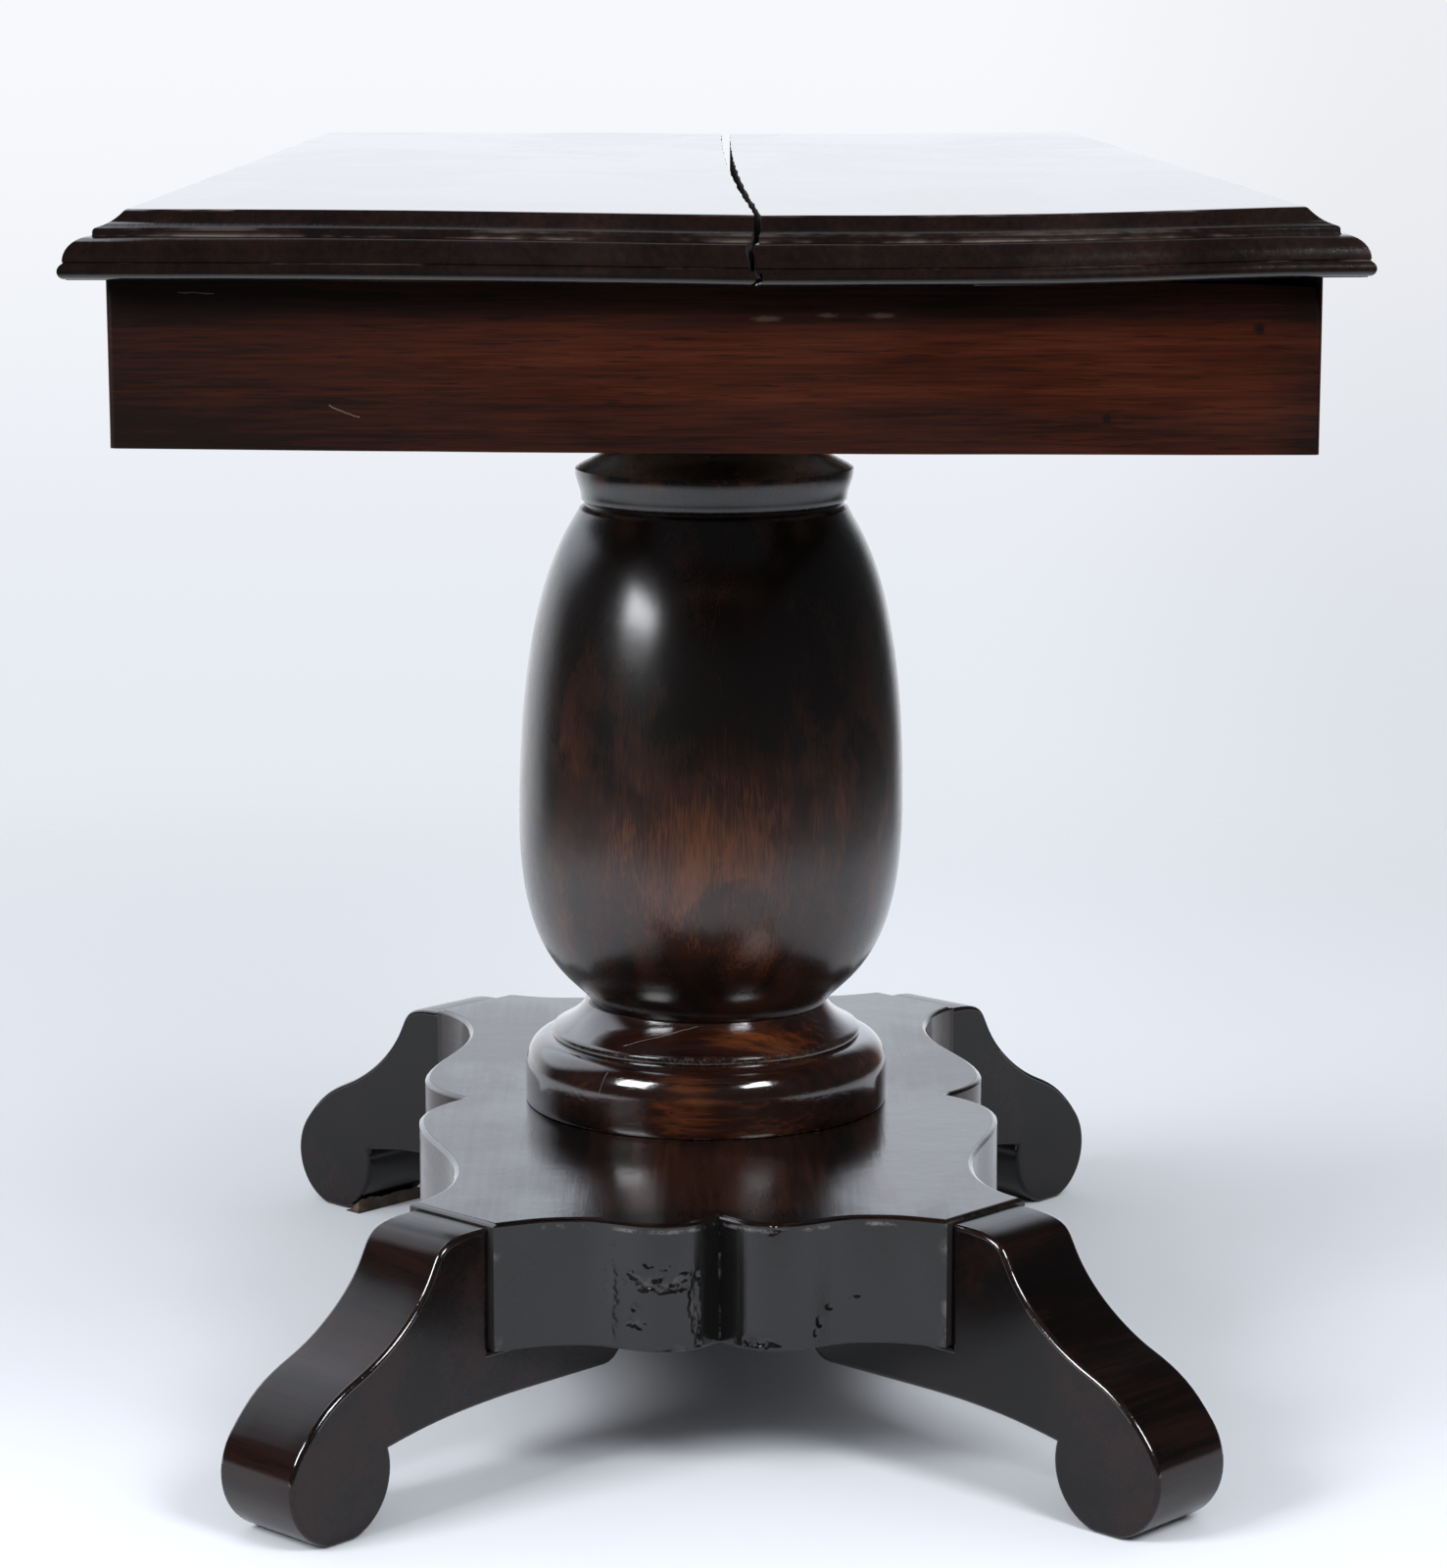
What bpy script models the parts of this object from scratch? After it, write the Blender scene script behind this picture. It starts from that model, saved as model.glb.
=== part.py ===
"""Pedestal side table in dark mahogany, in metres, +Z up, standing on the floor at Z = 0.

A top of two long boards, parted by a shrinkage split and moulded round the edge, lies on a mitred
apron frame. A turned vase carries the frame on a bearer, and stands through a turned foot in a
brace-shaped platform, which rides on four sawn scroll legs. X runs across the table and Y along it,
with the front end at -Y.
"""

import math

import bmesh
import bpy
from mathutils import Matrix, Vector

# Fit between neighbouring pieces
CLEARANCE = 0.0003

# Top: the flat table and its edge moulding, from the flat outwards and downwards
FLAT_WIDTH = 0.562
FLAT_LENGTH = 1.268
COVE_WIDTH = 0.0152
COVE_DROP = 0.0080
FILLET_DROP = 0.0036
OVOLO_STEP = 0.0018
OVOLO_WIDTH = 0.0120
OVOLO_DROP = 0.0108
BEAD_STEP = 0.0002
BEAD_RADIUS = 0.0036
UNDER_MARGIN = 0.0024

# Split between the two boards: its place across the top, its bow, its width and its wander
SPLIT_OFFSET = 0.0158
SPLIT_BOW = 0.0044
SPLIT_FRONT_GAP = 0.0024
SPLIT_BACK_GAP = 0.0040
SPLIT_WANDER = 0.0005
SPLIT_WAVES = 6.75

# Apron frame
APRON_OVERHANG = 0.0222
APRON_HEIGHT = 0.083
APRON_THICK = 0.022
APRON_ARRIS = 0.003
HOUSING_DEPTH = 0.008
CORNER_BLOCK_LEG = 0.055
CORNER_BLOCK_HEIGHT = 0.065
GLUE_BLOCK_SIDE = 0.028
GLUE_BLOCK_LENGTH = 0.090
GLUE_BLOCK_INSET = 0.380

# Bearers across the frame
BEARER_THICK = 0.045
CENTRE_BEARER_WIDTH = 0.190
END_BEARER_WIDTH = 0.065
END_BEARER_INSET = 0.200
TOP_SCREW_PLACE = 0.150

# Turned vase, from its neck on the foot up to its shoulder under the bearer
VASE_HEIGHT = 0.3180
VASE_NECK_RADIUS = 0.0753
BELLY_RADIUS = 0.1210
BELLY_HEIGHT = 0.1218
SHOULDER_RADIUS = 0.0839
QUIRK_DEPTH = 0.0030
QUIRK_HEIGHT = 0.0050
COLLAR_LOW_RADIUS = 0.0831
COLLAR_RADIUS = 0.0870
COLLAR_BAND = 0.0203
COLLAR_SLOPE = 0.0180
SHANK_RADIUS = 0.0640
SHANK_HEIGHT = 0.0920
SPIGOT_RADIUS = 0.0300

# Turned foot of the vase, from its top down
FOOT_TOP_RADIUS = 0.0765
FOOT_CONE_RADIUS = 0.0975
FOOT_CONE_DROP = 0.0178
FOOT_FILLET_DROP = 0.0045
FOOT_FILLET_STEP = 0.0018
FOOT_RADIUS = 0.1150
FOOT_OVOLO_DROP = 0.0206
FOOT_BAND = 0.0216

# Wedges that spread the spigots
WEDGE_DEPTH = 0.028
WEDGE_LENGTH = 0.050
WEDGE_THICK = 0.0064
WEDGE_TIP = 0.0026

# Platform: its box at the cut corners, then the brace outline of its long sides and its ends
PLATFORM_CLEAR = 0.0865
PLATFORM_THICK = 0.076
PLATFORM_WIDTH = 0.359
PLATFORM_LENGTH = 0.604
FACET_WIDTH = 0.070
PLATFORM_ROUND = 0.0045
SIDE_LOBE_PLACE = 0.055
SIDE_LOBE_REACH = 0.0015
SIDE_HOLLOW_PLACE = 0.183
SIDE_HOLLOW_DEPTH = 0.0240
SIDE_CUSP_DEPTH = 0.0245
END_LOBE_PLACE = 0.033
END_LOBE_REACH = 0.0040
END_HOLLOW_PLACE = 0.082
END_HOLLOW_DEPTH = 0.0115
END_CUSP_DEPTH = 0.0160

# Scroll legs, in the plane of the saw cut: out from the cut corner, and up
LEG_THICK = 0.062
LEG_ARRIS = 0.0025
LEG_CREST_DROP = 0.0030
HIP_OUT = 0.0434
HIP_DROP = 0.0190
SCROLL_OUT = 0.1142
SCROLL_RADIUS = 0.0378
SCROLL_FIRST = 38
SCROLL_LAST = -196
FOOT_FLAT_DEPTH = 0.0012
SWEEP_BACK = 0.0142
SWEEP_RISE = 0.0566
ARCH_LENGTH = 0.105
TONGUE_LENGTH = 0.115
TONGUE_THICK = 0.0299
TONGUE_NOSE = 0.020
BASE_TURN = math.radians(1.15)

# Dowels and screws
DOWEL_RADIUS = 0.006
DOWEL_HALF = 0.030
DOWEL_RISES = {"lower": 0.026, "upper": 0.050}
SCREW_RADIUS = 0.004
SCREW_HEAD_RADIUS = 0.008
SCREW_HEAD_HEIGHT = 0.005
SCREW_POINT = 0.006
SCREW_SUNK = 0.0015
LEG_SCREW_BACK = 0.065
LEG_SCREW_BITE = 0.032
TOP_SCREW_BITE = 0.014

# Packing strip under the back left foot
PACKING_NEAR = 0.016
PACKING_FAR = 0.029
PACKING_PROUD = 0.003

# Bends of the curves: the shares of its run, across and along, on which a curve leaves and arrives
COVE_BEND = ((0.35, 0.60), (0.40, 0.20))
LOWER_BELLY_BEND = ((0.20, 0.13), (0.0, 0.82))
UPPER_BELLY_BEND = ((0.0, 0.76), (0.19, 0.08))
COLLAR_BEND = ((0.0, 0.40), (0.0, 0.40))
SHANK_BEND = ((0.22, 0.20), (0.0, 0.50))
FOOT_CONE_BEND = ((0.19, 0.40), (0.57, 0.35))
FOOT_OVOLO_BEND = ((0.62, 0.06), (0.0, 0.60))
SIDE_CUSP_BEND = ((0.52, 0.23), (0.0, 0.45))
SIDE_FLOW_BEND = ((0.0, 0.38), (0.0, 0.38))
SIDE_FLARE_BEND = ((0.0, 0.50), (0.50, 0.18))
END_FLARE_BEND = ((0.48, 0.75), (0.48, 0.0))
END_FLOW_BEND = ((0.38, 0.0), (0.38, 0.0))
END_CUSP_BEND = ((0.45, 0.0), (0.22, 0.48))
HIP_BEND = ((0.85, 0.0), (0.17, 0.72))
SWEEP_BEND = ((0.20, 0.44), (0.38, 0.19))
SHIN_BEND = ((0.45, 0.25), (0.32, 0.54))
ARCH_BEND = ((0.305, 0.625), (0.43, 0.0))
NOSE_BEND = ((0.60, 0.0), (0.0, 0.50))

# Smoothness of turned and curved work
TURNING_STEPS = 40
BELLY_STEPS = 11
SCROLL_STEPS = 22
SMALL_STEPS = 14
CURVE_STEPS = 6
SHORT_STEPS = 4
SPLIT_STEPS = 28

# Levels that the sizes above add up to
TOP_THICK = COVE_DROP + FILLET_DROP + OVOLO_DROP + 2 * BEAD_RADIUS + UNDER_MARGIN
MOULD_WIDTH = COVE_WIDTH + OVOLO_STEP + OVOLO_WIDTH + BEAD_STEP + BEAD_RADIUS / 2
FOOT_HEIGHT = FOOT_CONE_DROP + FOOT_FILLET_DROP + FOOT_OVOLO_DROP + FOOT_BAND
PLATFORM_TOP = PLATFORM_CLEAR + PLATFORM_THICK
FOOT_SEAT = PLATFORM_TOP + CLEARANCE
VASE_SEAT = FOOT_SEAT + FOOT_HEIGHT + CLEARANCE
COLLAR_LEVEL = VASE_SEAT + VASE_HEIGHT
SHOULDER_LEVEL = COLLAR_LEVEL + COLLAR_BAND + COLLAR_SLOPE + SHANK_HEIGHT
BEARER_LEVEL = SHOULDER_LEVEL + CLEARANCE
FRAME_TOP = BEARER_LEVEL + BEARER_THICK
TOP_LEVEL = FRAME_TOP + CLEARANCE
TABLE_HEIGHT = TOP_LEVEL + TOP_THICK
APRON_X = FLAT_WIDTH / 2 + MOULD_WIDTH - APRON_OVERHANG
APRON_Y = FLAT_LENGTH / 2 + MOULD_WIDTH - APRON_OVERHANG
INNER_X = APRON_X - APRON_THICK
INNER_Y = APRON_Y - APRON_THICK
END_BEARER_PLACE = INNER_Y - END_BEARER_INSET
GLUE_BLOCK_PLACE = INNER_Y - GLUE_BLOCK_INSET
CORNERS = {
    "front_left": (-1, -1),
    "front_right": (1, -1),
    "back_left": (-1, 1),
    "back_right": (1, 1),
}


def clear_scene():
    for item in list(bpy.data.objects):
        bpy.data.objects.remove(item, do_unlink=True)


def finish(name, colour, roughness, metallic=0.0):
    """A plain surface for one kind of piece."""
    material = bpy.data.materials.new(name)
    material.use_nodes = True
    surface = material.node_tree.nodes["Principled BSDF"]
    surface.inputs["Base Color"].default_value = (*colour, 1.0)
    surface.inputs["Roughness"].default_value = roughness
    surface.inputs["Metallic"].default_value = metallic
    return material


def axis(name, turn=0.0):
    """An empty that a group of pieces hangs on."""
    empty = bpy.data.objects.new(name, None)
    empty.rotation_euler.z = turn
    bpy.context.collection.objects.link(empty)
    return empty


def place(name, mesh, material, parent, location=(0, 0, 0), turn=0.0):
    """One piece of the table as an object."""
    piece = bpy.data.objects.new(name, mesh)
    if not mesh.materials:
        mesh.materials.append(material)
    bpy.context.collection.objects.link(piece)
    piece.parent = parent
    piece.location = location
    piece.rotation_euler.z = turn
    return piece


def as_mesh(shape, name):
    """The bmesh as a mesh with its faces pointing out."""
    bmesh.ops.recalc_face_normals(shape, faces=shape.faces[:])
    mesh = bpy.data.meshes.new(name)
    shape.to_mesh(mesh)
    shape.free()
    return mesh


def joined(meshes, name):
    """Several meshes as one, as a set of cutters that don't meet."""
    shape = bmesh.new()
    for mesh in meshes:
        shape.from_mesh(mesh)
        bpy.data.meshes.remove(mesh)
    return as_mesh(shape, name)


def moved(mesh, matrix):
    mesh.transform(matrix)
    return mesh


def carved(blank, cutter):
    """What is left of a blank when the cutter is taken out of it."""
    scratch = [bpy.data.objects.new("scratch", mesh) for mesh in (blank, cutter)]
    for item in scratch:
        bpy.context.collection.objects.link(item)
    cut = scratch[0].modifiers.new("cut", "BOOLEAN")
    cut.operation = "DIFFERENCE"
    cut.solver = "EXACT"
    cut.object = scratch[1]
    graph = bpy.context.evaluated_depsgraph_get()
    left = bpy.data.meshes.new_from_object(scratch[0].evaluated_get(graph))
    for item in scratch:
        bpy.data.objects.remove(item)
    left.name = blank.name
    return left


def smooth(mesh, angle=35):
    mesh.shade_smooth()
    mesh.set_sharp_from_angle(angle=math.radians(angle))
    return mesh


def sweep(start, end, bend, steps=CURVE_STEPS):
    """A smooth curve from one point up to, but without, another."""
    start, end = Vector(start), Vector(end)
    run = end - start
    leave, arrive = (Vector((run.x * across, run.y * along)) for across, along in bend)
    near, far = start + leave, end - arrive
    points = []
    for step in range(steps):
        t = step / steps
        u = 1 - t
        points.append(u**3 * start + 3 * u * u * t * near + 3 * u * t * t * far + t**3 * end)
    return points


def arc(centre, radius, first, last, steps):
    """Points on a circle from one angle to another, in degrees, both ends included."""
    turns = [math.radians(first + (last - first) * step / steps) for step in range(steps + 1)]
    return [Vector((centre[0] + radius * math.cos(a), centre[1] + radius * math.sin(a))) for a in turns]


def prism(name, outline, low, high):
    """An outline in plan, raised between two levels."""
    shape = bmesh.new()
    base = shape.faces.new([shape.verts.new((point[0], point[1], low)) for point in outline])
    raised = bmesh.ops.extrude_face_region(shape, geom=[base])["geom"]
    lift = [item for item in raised if isinstance(item, bmesh.types.BMVert)]
    bmesh.ops.translate(shape, verts=lift, vec=(0, 0, high - low))
    return as_mesh(shape, name)


def block(name, size, centre):
    """A squared block."""
    half_x, half_y, half_z = (side / 2 for side in size)
    outline = [(-half_x, -half_y), (half_x, -half_y), (half_x, half_y), (-half_x, half_y)]
    return moved(prism(name, outline, -half_z, half_z), Matrix.Translation(centre))


def turned(name, outline, steps=TURNING_STEPS, hollow=False):
    """A turning: its outline of radius and height, spun about the vertical axis."""
    shape = bmesh.new()
    points = [shape.verts.new((radius, 0, height)) for radius, height in outline]
    pairs = list(zip(points, points[1:]))
    if hollow:
        pairs.append((points[-1], points[0]))
    wires = [shape.edges.new(pair) for pair in pairs]
    bmesh.ops.spin(
        shape, geom=points + wires, axis=(0, 0, 1), cent=(0, 0, 0), steps=steps, angle=2 * math.pi
    )
    bmesh.ops.remove_doubles(shape, verts=shape.verts[:], dist=0.00001)
    return smooth(as_mesh(shape, name))


def rod(name, radius, low, high, steps=SMALL_STEPS):
    """A plain round rod between two levels."""
    return turned(name, [(0, low), (radius, low), (radius, high), (0, high)], steps)


def mould_profile():
    """The edge of the top as (out from the flat, down from the flat): cove, fillet, ovolo and bead."""
    cove = sweep((0, 0), (COVE_WIDTH, COVE_DROP), COVE_BEND)
    fillet = [Vector((COVE_WIDTH, COVE_DROP)), Vector((COVE_WIDTH, COVE_DROP + FILLET_DROP))]
    ovolo_in = COVE_WIDTH + OVOLO_STEP
    ovolo_top = COVE_DROP + FILLET_DROP
    ovolo = [
        Vector((ovolo_in + OVOLO_WIDTH * across, ovolo_top + OVOLO_DROP * (1 + along)))
        for across, along in arc((0, 0), 1, -90, 0, CURVE_STEPS)
    ]
    bead_out = ovolo_in + OVOLO_WIDTH + BEAD_STEP - BEAD_RADIUS / 2
    bead_down = ovolo_top + OVOLO_DROP + BEAD_RADIUS
    bead = arc((bead_out, bead_down), BEAD_RADIUS, -60, 90, CURVE_STEPS)
    return cove + fillet + ovolo + bead + [Vector((bead_out, TOP_THICK))]


def top_slab():
    """The whole moulded top before it split: the profile run round the flat and mitred at its corners."""
    shape = bmesh.new()
    rings = []
    for out, down in mould_profile():
        half_x, half_y = FLAT_WIDTH / 2 + out, FLAT_LENGTH / 2 + out
        level = TABLE_HEIGHT - down
        plan = [(-half_x, -half_y), (half_x, -half_y), (half_x, half_y), (-half_x, half_y)]
        rings.append([shape.verts.new((x, y, level)) for x, y in plan])
    for upper, lower in zip(rings, rings[1:]):
        for side in range(4):
            following = (side + 1) % 4
            shape.faces.new((upper[side], upper[following], lower[following], lower[side]))
    shape.faces.new(rings[0])
    shape.faces.new(rings[-1])
    return as_mesh(shape, "top_slab")


def split_line(side):
    """One edge of the split from front to back: -1 for the left board's edge, 1 for the right one's."""
    reach = FLAT_LENGTH / 2 + 2 * MOULD_WIDTH
    points = []
    for step in range(SPLIT_STEPS + 1):
        along = step / SPLIT_STEPS
        y = -reach + 2 * reach * along
        bow = SPLIT_BOW * (2 * y / FLAT_LENGTH) ** 2
        wander = SPLIT_WANDER * math.sin(2 * math.pi * SPLIT_WAVES * along)
        gap = SPLIT_FRONT_GAP + (SPLIT_BACK_GAP - SPLIT_FRONT_GAP) * along
        points.append(Vector((SPLIT_OFFSET + bow + wander + side * gap / 2, y)))
    return points


def top_board(name, side):
    """One board of the top: the slab less everything past its own edge of the split."""
    edge = split_line(side)
    beyond = -side * (FLAT_WIDTH + 2 * MOULD_WIDTH)
    waste = edge + [Vector((beyond, edge[-1].y)), Vector((beyond, edge[0].y))]
    cutter = prism("waste", waste, TOP_LEVEL - TOP_THICK, TABLE_HEIGHT + TOP_THICK)
    board = carved(top_slab(), cutter)
    board.name = name
    return board


def rail_outline(half_length, half_reach):
    """A mitred rail in plan, along X, with its outer face at -Y and its corners eased."""
    inset = CLEARANCE / math.sqrt(2)
    end = half_length - inset
    corner = (end - APRON_ARRIS, -half_reach + APRON_ARRIS)
    right = arc(corner, APRON_ARRIS, -90, -45, 3)
    inner = Vector((end - APRON_THICK, -half_reach + APRON_THICK))
    half = right + [inner]
    return half + [Vector((-x, y)) for x, y in reversed(half)]


def apron_rails(material, parent):
    """Four rails mitred at the corners; the long ones are housed for the bearers."""
    low = FRAME_TOP - APRON_HEIGHT
    for name, turn in (("front", 0), ("back", math.pi)):
        mesh = prism("apron_" + name, rail_outline(APRON_X, APRON_Y), low, FRAME_TOP)
        place("apron_" + name, mesh, material, parent, turn=turn)
    for name, side in (("left", -1), ("right", 1)):
        mesh = prism("apron_" + name, rail_outline(APRON_Y, APRON_X), low, FRAME_TOP)
        mesh.transform(Matrix.Rotation(side * math.pi / 2, 4, "Z"))
        housings = [
            block("housing", (HOUSING_DEPTH * 2, width + 2 * CLEARANCE, BEARER_THICK * 2),
                  (side * INNER_X, where, FRAME_TOP - CLEARANCE))
            for _, where, width in bearers()
        ]
        place("apron_" + name, carved(mesh, joined(housings, "housings")), material, parent)


def bearers():
    """Name, place along the table and width of each bearer."""
    return [
        ("bearer_front", -END_BEARER_PLACE, END_BEARER_WIDTH),
        ("centre_bearer", 0.0, CENTRE_BEARER_WIDTH),
        ("bearer_back", END_BEARER_PLACE, END_BEARER_WIDTH),
    ]


def screw_outline(bite, through, room=0.0):
    """A countersunk screw from its head up: `through` in the near piece and `bite` in the far one."""
    shank, head = SCREW_RADIUS + room, SCREW_HEAD_RADIUS + room
    tip = through + bite - SCREW_SUNK
    return [
        (0, 0), (head, 0), (shank, SCREW_HEAD_HEIGHT), (shank, tip - SCREW_POINT), (0, tip + room),
    ]


def screw_bore(bite, through):
    """The hole a screw needs, open below its head."""
    outline = screw_outline(bite, through, CLEARANCE)
    return turned("bore", [(0, -through), (outline[1][0], -through)] + outline[1:], SMALL_STEPS)


def top_screws():
    """Name and place of the screws that go up through the end bearers into the boards."""
    return [
        ("top_screw_" + corner, (x * TOP_SCREW_PLACE, y * END_BEARER_PLACE, BEARER_LEVEL + SCREW_SUNK))
        for corner, (x, y) in CORNERS.items()
    ]


def top_screw_bores():
    bores = [
        moved(screw_bore(TOP_SCREW_BITE, BEARER_THICK + CLEARANCE), Matrix.Translation(spot))
        for _, spot in top_screws()
    ]
    return joined(bores, "top_screw_bores")


def cross_bearers(material, parent):
    """Three bearers housed in the long rails; the middle one is bored for the vase's spigot."""
    length = 2 * (INNER_X + HOUSING_DEPTH - CLEARANCE)
    for name, where, width in bearers():
        mesh = block(name, (length, width, BEARER_THICK), (0, where, BEARER_LEVEL + BEARER_THICK / 2))
        if where:
            mesh = carved(mesh, top_screw_bores())
        else:
            bore = rod("bore", SPIGOT_RADIUS + CLEARANCE, SHOULDER_LEVEL, TABLE_HEIGHT, TURNING_STEPS)
            mesh = carved(mesh, bore)
        place(name, mesh, material, parent)


def frame_blocks(material, parent):
    """Corner blocks and glue blocks rubbed into the angles inside the frame."""
    near = CLEARANCE
    leg = CORNER_BLOCK_LEG
    corner = [(near, near), (leg, near), (near, leg)]
    side = GLUE_BLOCK_SIDE
    for name, (x, y) in CORNERS.items():
        outline = [(x * (INNER_X - out), y * (INNER_Y - along)) for out, along in corner]
        mesh = prism("corner_block_" + name, outline, FRAME_TOP - CORNER_BLOCK_HEIGHT, FRAME_TOP)
        place(mesh.name, mesh, material, parent)
        centre = (x * (INNER_X - near - side / 2), y * GLUE_BLOCK_PLACE, FRAME_TOP - side / 2)
        mesh = block("glue_block_" + name, (side, GLUE_BLOCK_LENGTH, side), centre)
        place(mesh.name, mesh, material, parent)


def vase_profile():
    """Outline of the vase from the lower spigot's end up to the upper spigot's end."""
    band_top = COLLAR_LEVEL + COLLAR_BAND
    neck = (VASE_NECK_RADIUS, VASE_SEAT)
    widest = (BELLY_RADIUS, VASE_SEAT + BELLY_HEIGHT)
    shoulder = (SHOULDER_RADIUS, COLLAR_LEVEL - QUIRK_HEIGHT)
    quirk = (SHOULDER_RADIUS - QUIRK_DEPTH, COLLAR_LEVEL - QUIRK_HEIGHT / 2)
    collar_low = (COLLAR_LOW_RADIUS, COLLAR_LEVEL)
    collar_top = (COLLAR_RADIUS, band_top)
    shank = (SHANK_RADIUS, band_top + COLLAR_SLOPE)
    return (
        [(0, PLATFORM_CLEAR), (SPIGOT_RADIUS, PLATFORM_CLEAR), (SPIGOT_RADIUS, VASE_SEAT)]
        + sweep(neck, widest, LOWER_BELLY_BEND, BELLY_STEPS)
        + sweep(widest, shoulder, UPPER_BELLY_BEND, BELLY_STEPS)
        + [shoulder, quirk]
        + sweep(collar_low, collar_top, COLLAR_BEND, SHORT_STEPS)
        + sweep(collar_top, shank, SHANK_BEND, SHORT_STEPS)
        + [shank, (SHANK_RADIUS, SHOULDER_LEVEL)]
        + [(SPIGOT_RADIUS, SHOULDER_LEVEL), (SPIGOT_RADIUS, FRAME_TOP), (0, FRAME_TOP)]
    )


def wedge(name, room=0.0):
    """A wedge with its thick end at zero, driven down along -Z."""
    thick, tip = WEDGE_THICK / 2 + room, WEDGE_TIP / 2 + room
    half = WEDGE_LENGTH / 2 + room
    outline = [(-thick, room), (-tip, -WEDGE_DEPTH - room), (tip, -WEDGE_DEPTH - room), (thick, room)]
    standing = Matrix.Rotation(math.pi / 2, 4, "X")
    return moved(prism(name, outline, -half, half), standing)


def foot_profile():
    """Outline of the turned foot: its bore, then the cone, fillet, ovolo and band from the top down."""
    bore = SPIGOT_RADIUS + CLEARANCE
    top = FOOT_SEAT + FOOT_HEIGHT
    fillet_low = top - FOOT_CONE_DROP - FOOT_FILLET_DROP
    cone_low = (FOOT_CONE_RADIUS, top - FOOT_CONE_DROP)
    ovolo_top = (FOOT_CONE_RADIUS + FOOT_FILLET_STEP, fillet_low)
    ovolo_low = (FOOT_RADIUS, fillet_low - FOOT_OVOLO_DROP)
    return (
        [(bore, FOOT_SEAT), (bore, top)]
        + sweep((FOOT_TOP_RADIUS, top), cone_low, FOOT_CONE_BEND)
        + [cone_low, (FOOT_CONE_RADIUS, fillet_low)]
        + sweep(ovolo_top, ovolo_low, FOOT_OVOLO_BEND)
        + [ovolo_low, (FOOT_RADIUS, FOOT_SEAT)]
    )


def pedestal(polish, raw, parent):
    """The vase with a wedge in each spigot, and the turned foot that it stands through."""
    upside_down = Matrix.Translation((0, 0, PLATFORM_CLEAR)) @ Matrix.Rotation(math.pi, 4, "X")
    seats = {"wedge_upper": Matrix.Translation((0, 0, FRAME_TOP)), "wedge_lower": upside_down}
    slots = [moved(wedge("slot", CLEARANCE), seat) for seat in seats.values()]
    vase = carved(turned("pedestal_vase", vase_profile()), joined(slots, "slots"))
    place("pedestal_vase", smooth(vase), polish, parent)
    for name, seat in seats.items():
        place(name, moved(wedge(name), seat), raw, parent)
    place("pedestal_foot", turned("pedestal_foot", foot_profile(), hollow=True), polish, parent)


def platform_quarter():
    """A quarter of the platform's outline, from the cusp of the right side to that of the back end."""
    half_x, half_y = PLATFORM_WIDTH / 2, PLATFORM_LENGTH / 2
    cut = FACET_WIDTH / math.sqrt(2)
    side_cusp = (half_x - SIDE_CUSP_DEPTH, 0)
    side_lobe = (half_x + SIDE_LOBE_REACH, SIDE_LOBE_PLACE)
    side_hollow = (half_x - SIDE_HOLLOW_DEPTH, SIDE_HOLLOW_PLACE)
    side_end = (half_x, half_y - cut)
    end_start = (half_x - cut, half_y)
    end_hollow = (END_HOLLOW_PLACE, half_y - END_HOLLOW_DEPTH)
    end_lobe = (END_LOBE_PLACE, half_y + END_LOBE_REACH)
    end_cusp = (0, half_y - END_CUSP_DEPTH)
    return (
        sweep(side_cusp, side_lobe, SIDE_CUSP_BEND)
        + sweep(side_lobe, side_hollow, SIDE_FLOW_BEND)
        + sweep(side_hollow, side_end, SIDE_FLARE_BEND)
        + [Vector(side_end)]
        + sweep(end_start, end_hollow, END_FLARE_BEND)
        + sweep(end_hollow, end_lobe, END_FLOW_BEND)
        + sweep(end_lobe, end_cusp, END_CUSP_BEND)
    )


def mirrored_outline(quarter):
    """The whole outline from a quarter that starts on the X axis and stops short of the Y axis."""
    tip = Vector((0, PLATFORM_LENGTH / 2 - END_CUSP_DEPTH))
    half = quarter + [tip] + [Vector((-x, y)) for x, y in reversed(quarter)]
    return half + [Vector((x, -y)) for x, y in reversed(half[1:-1])]


def eased(mesh, chosen, width):
    """The mesh with the chosen edges rounded."""
    shape = bmesh.new()
    shape.from_mesh(mesh)
    edges = [edge for edge in shape.edges if chosen(edge)]
    bmesh.ops.bevel(
        shape, geom=edges, offset=width, segments=2, profile=0.5, affect="EDGES", clamp_overlap=True
    )
    name = mesh.name
    bpy.data.meshes.remove(mesh)
    return as_mesh(shape, name)


def leg_places():
    """Each leg's frame: at the foot of its cut corner, with +X out along the leg."""
    cut = FACET_WIDTH / math.sqrt(2)
    out_x, out_y = (PLATFORM_WIDTH - cut) / 2, (PLATFORM_LENGTH - cut) / 2
    return {
        corner: ((x * out_x, y * out_y, 0), math.atan2(y, x))
        for corner, (x, y) in CORNERS.items()
    }


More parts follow.
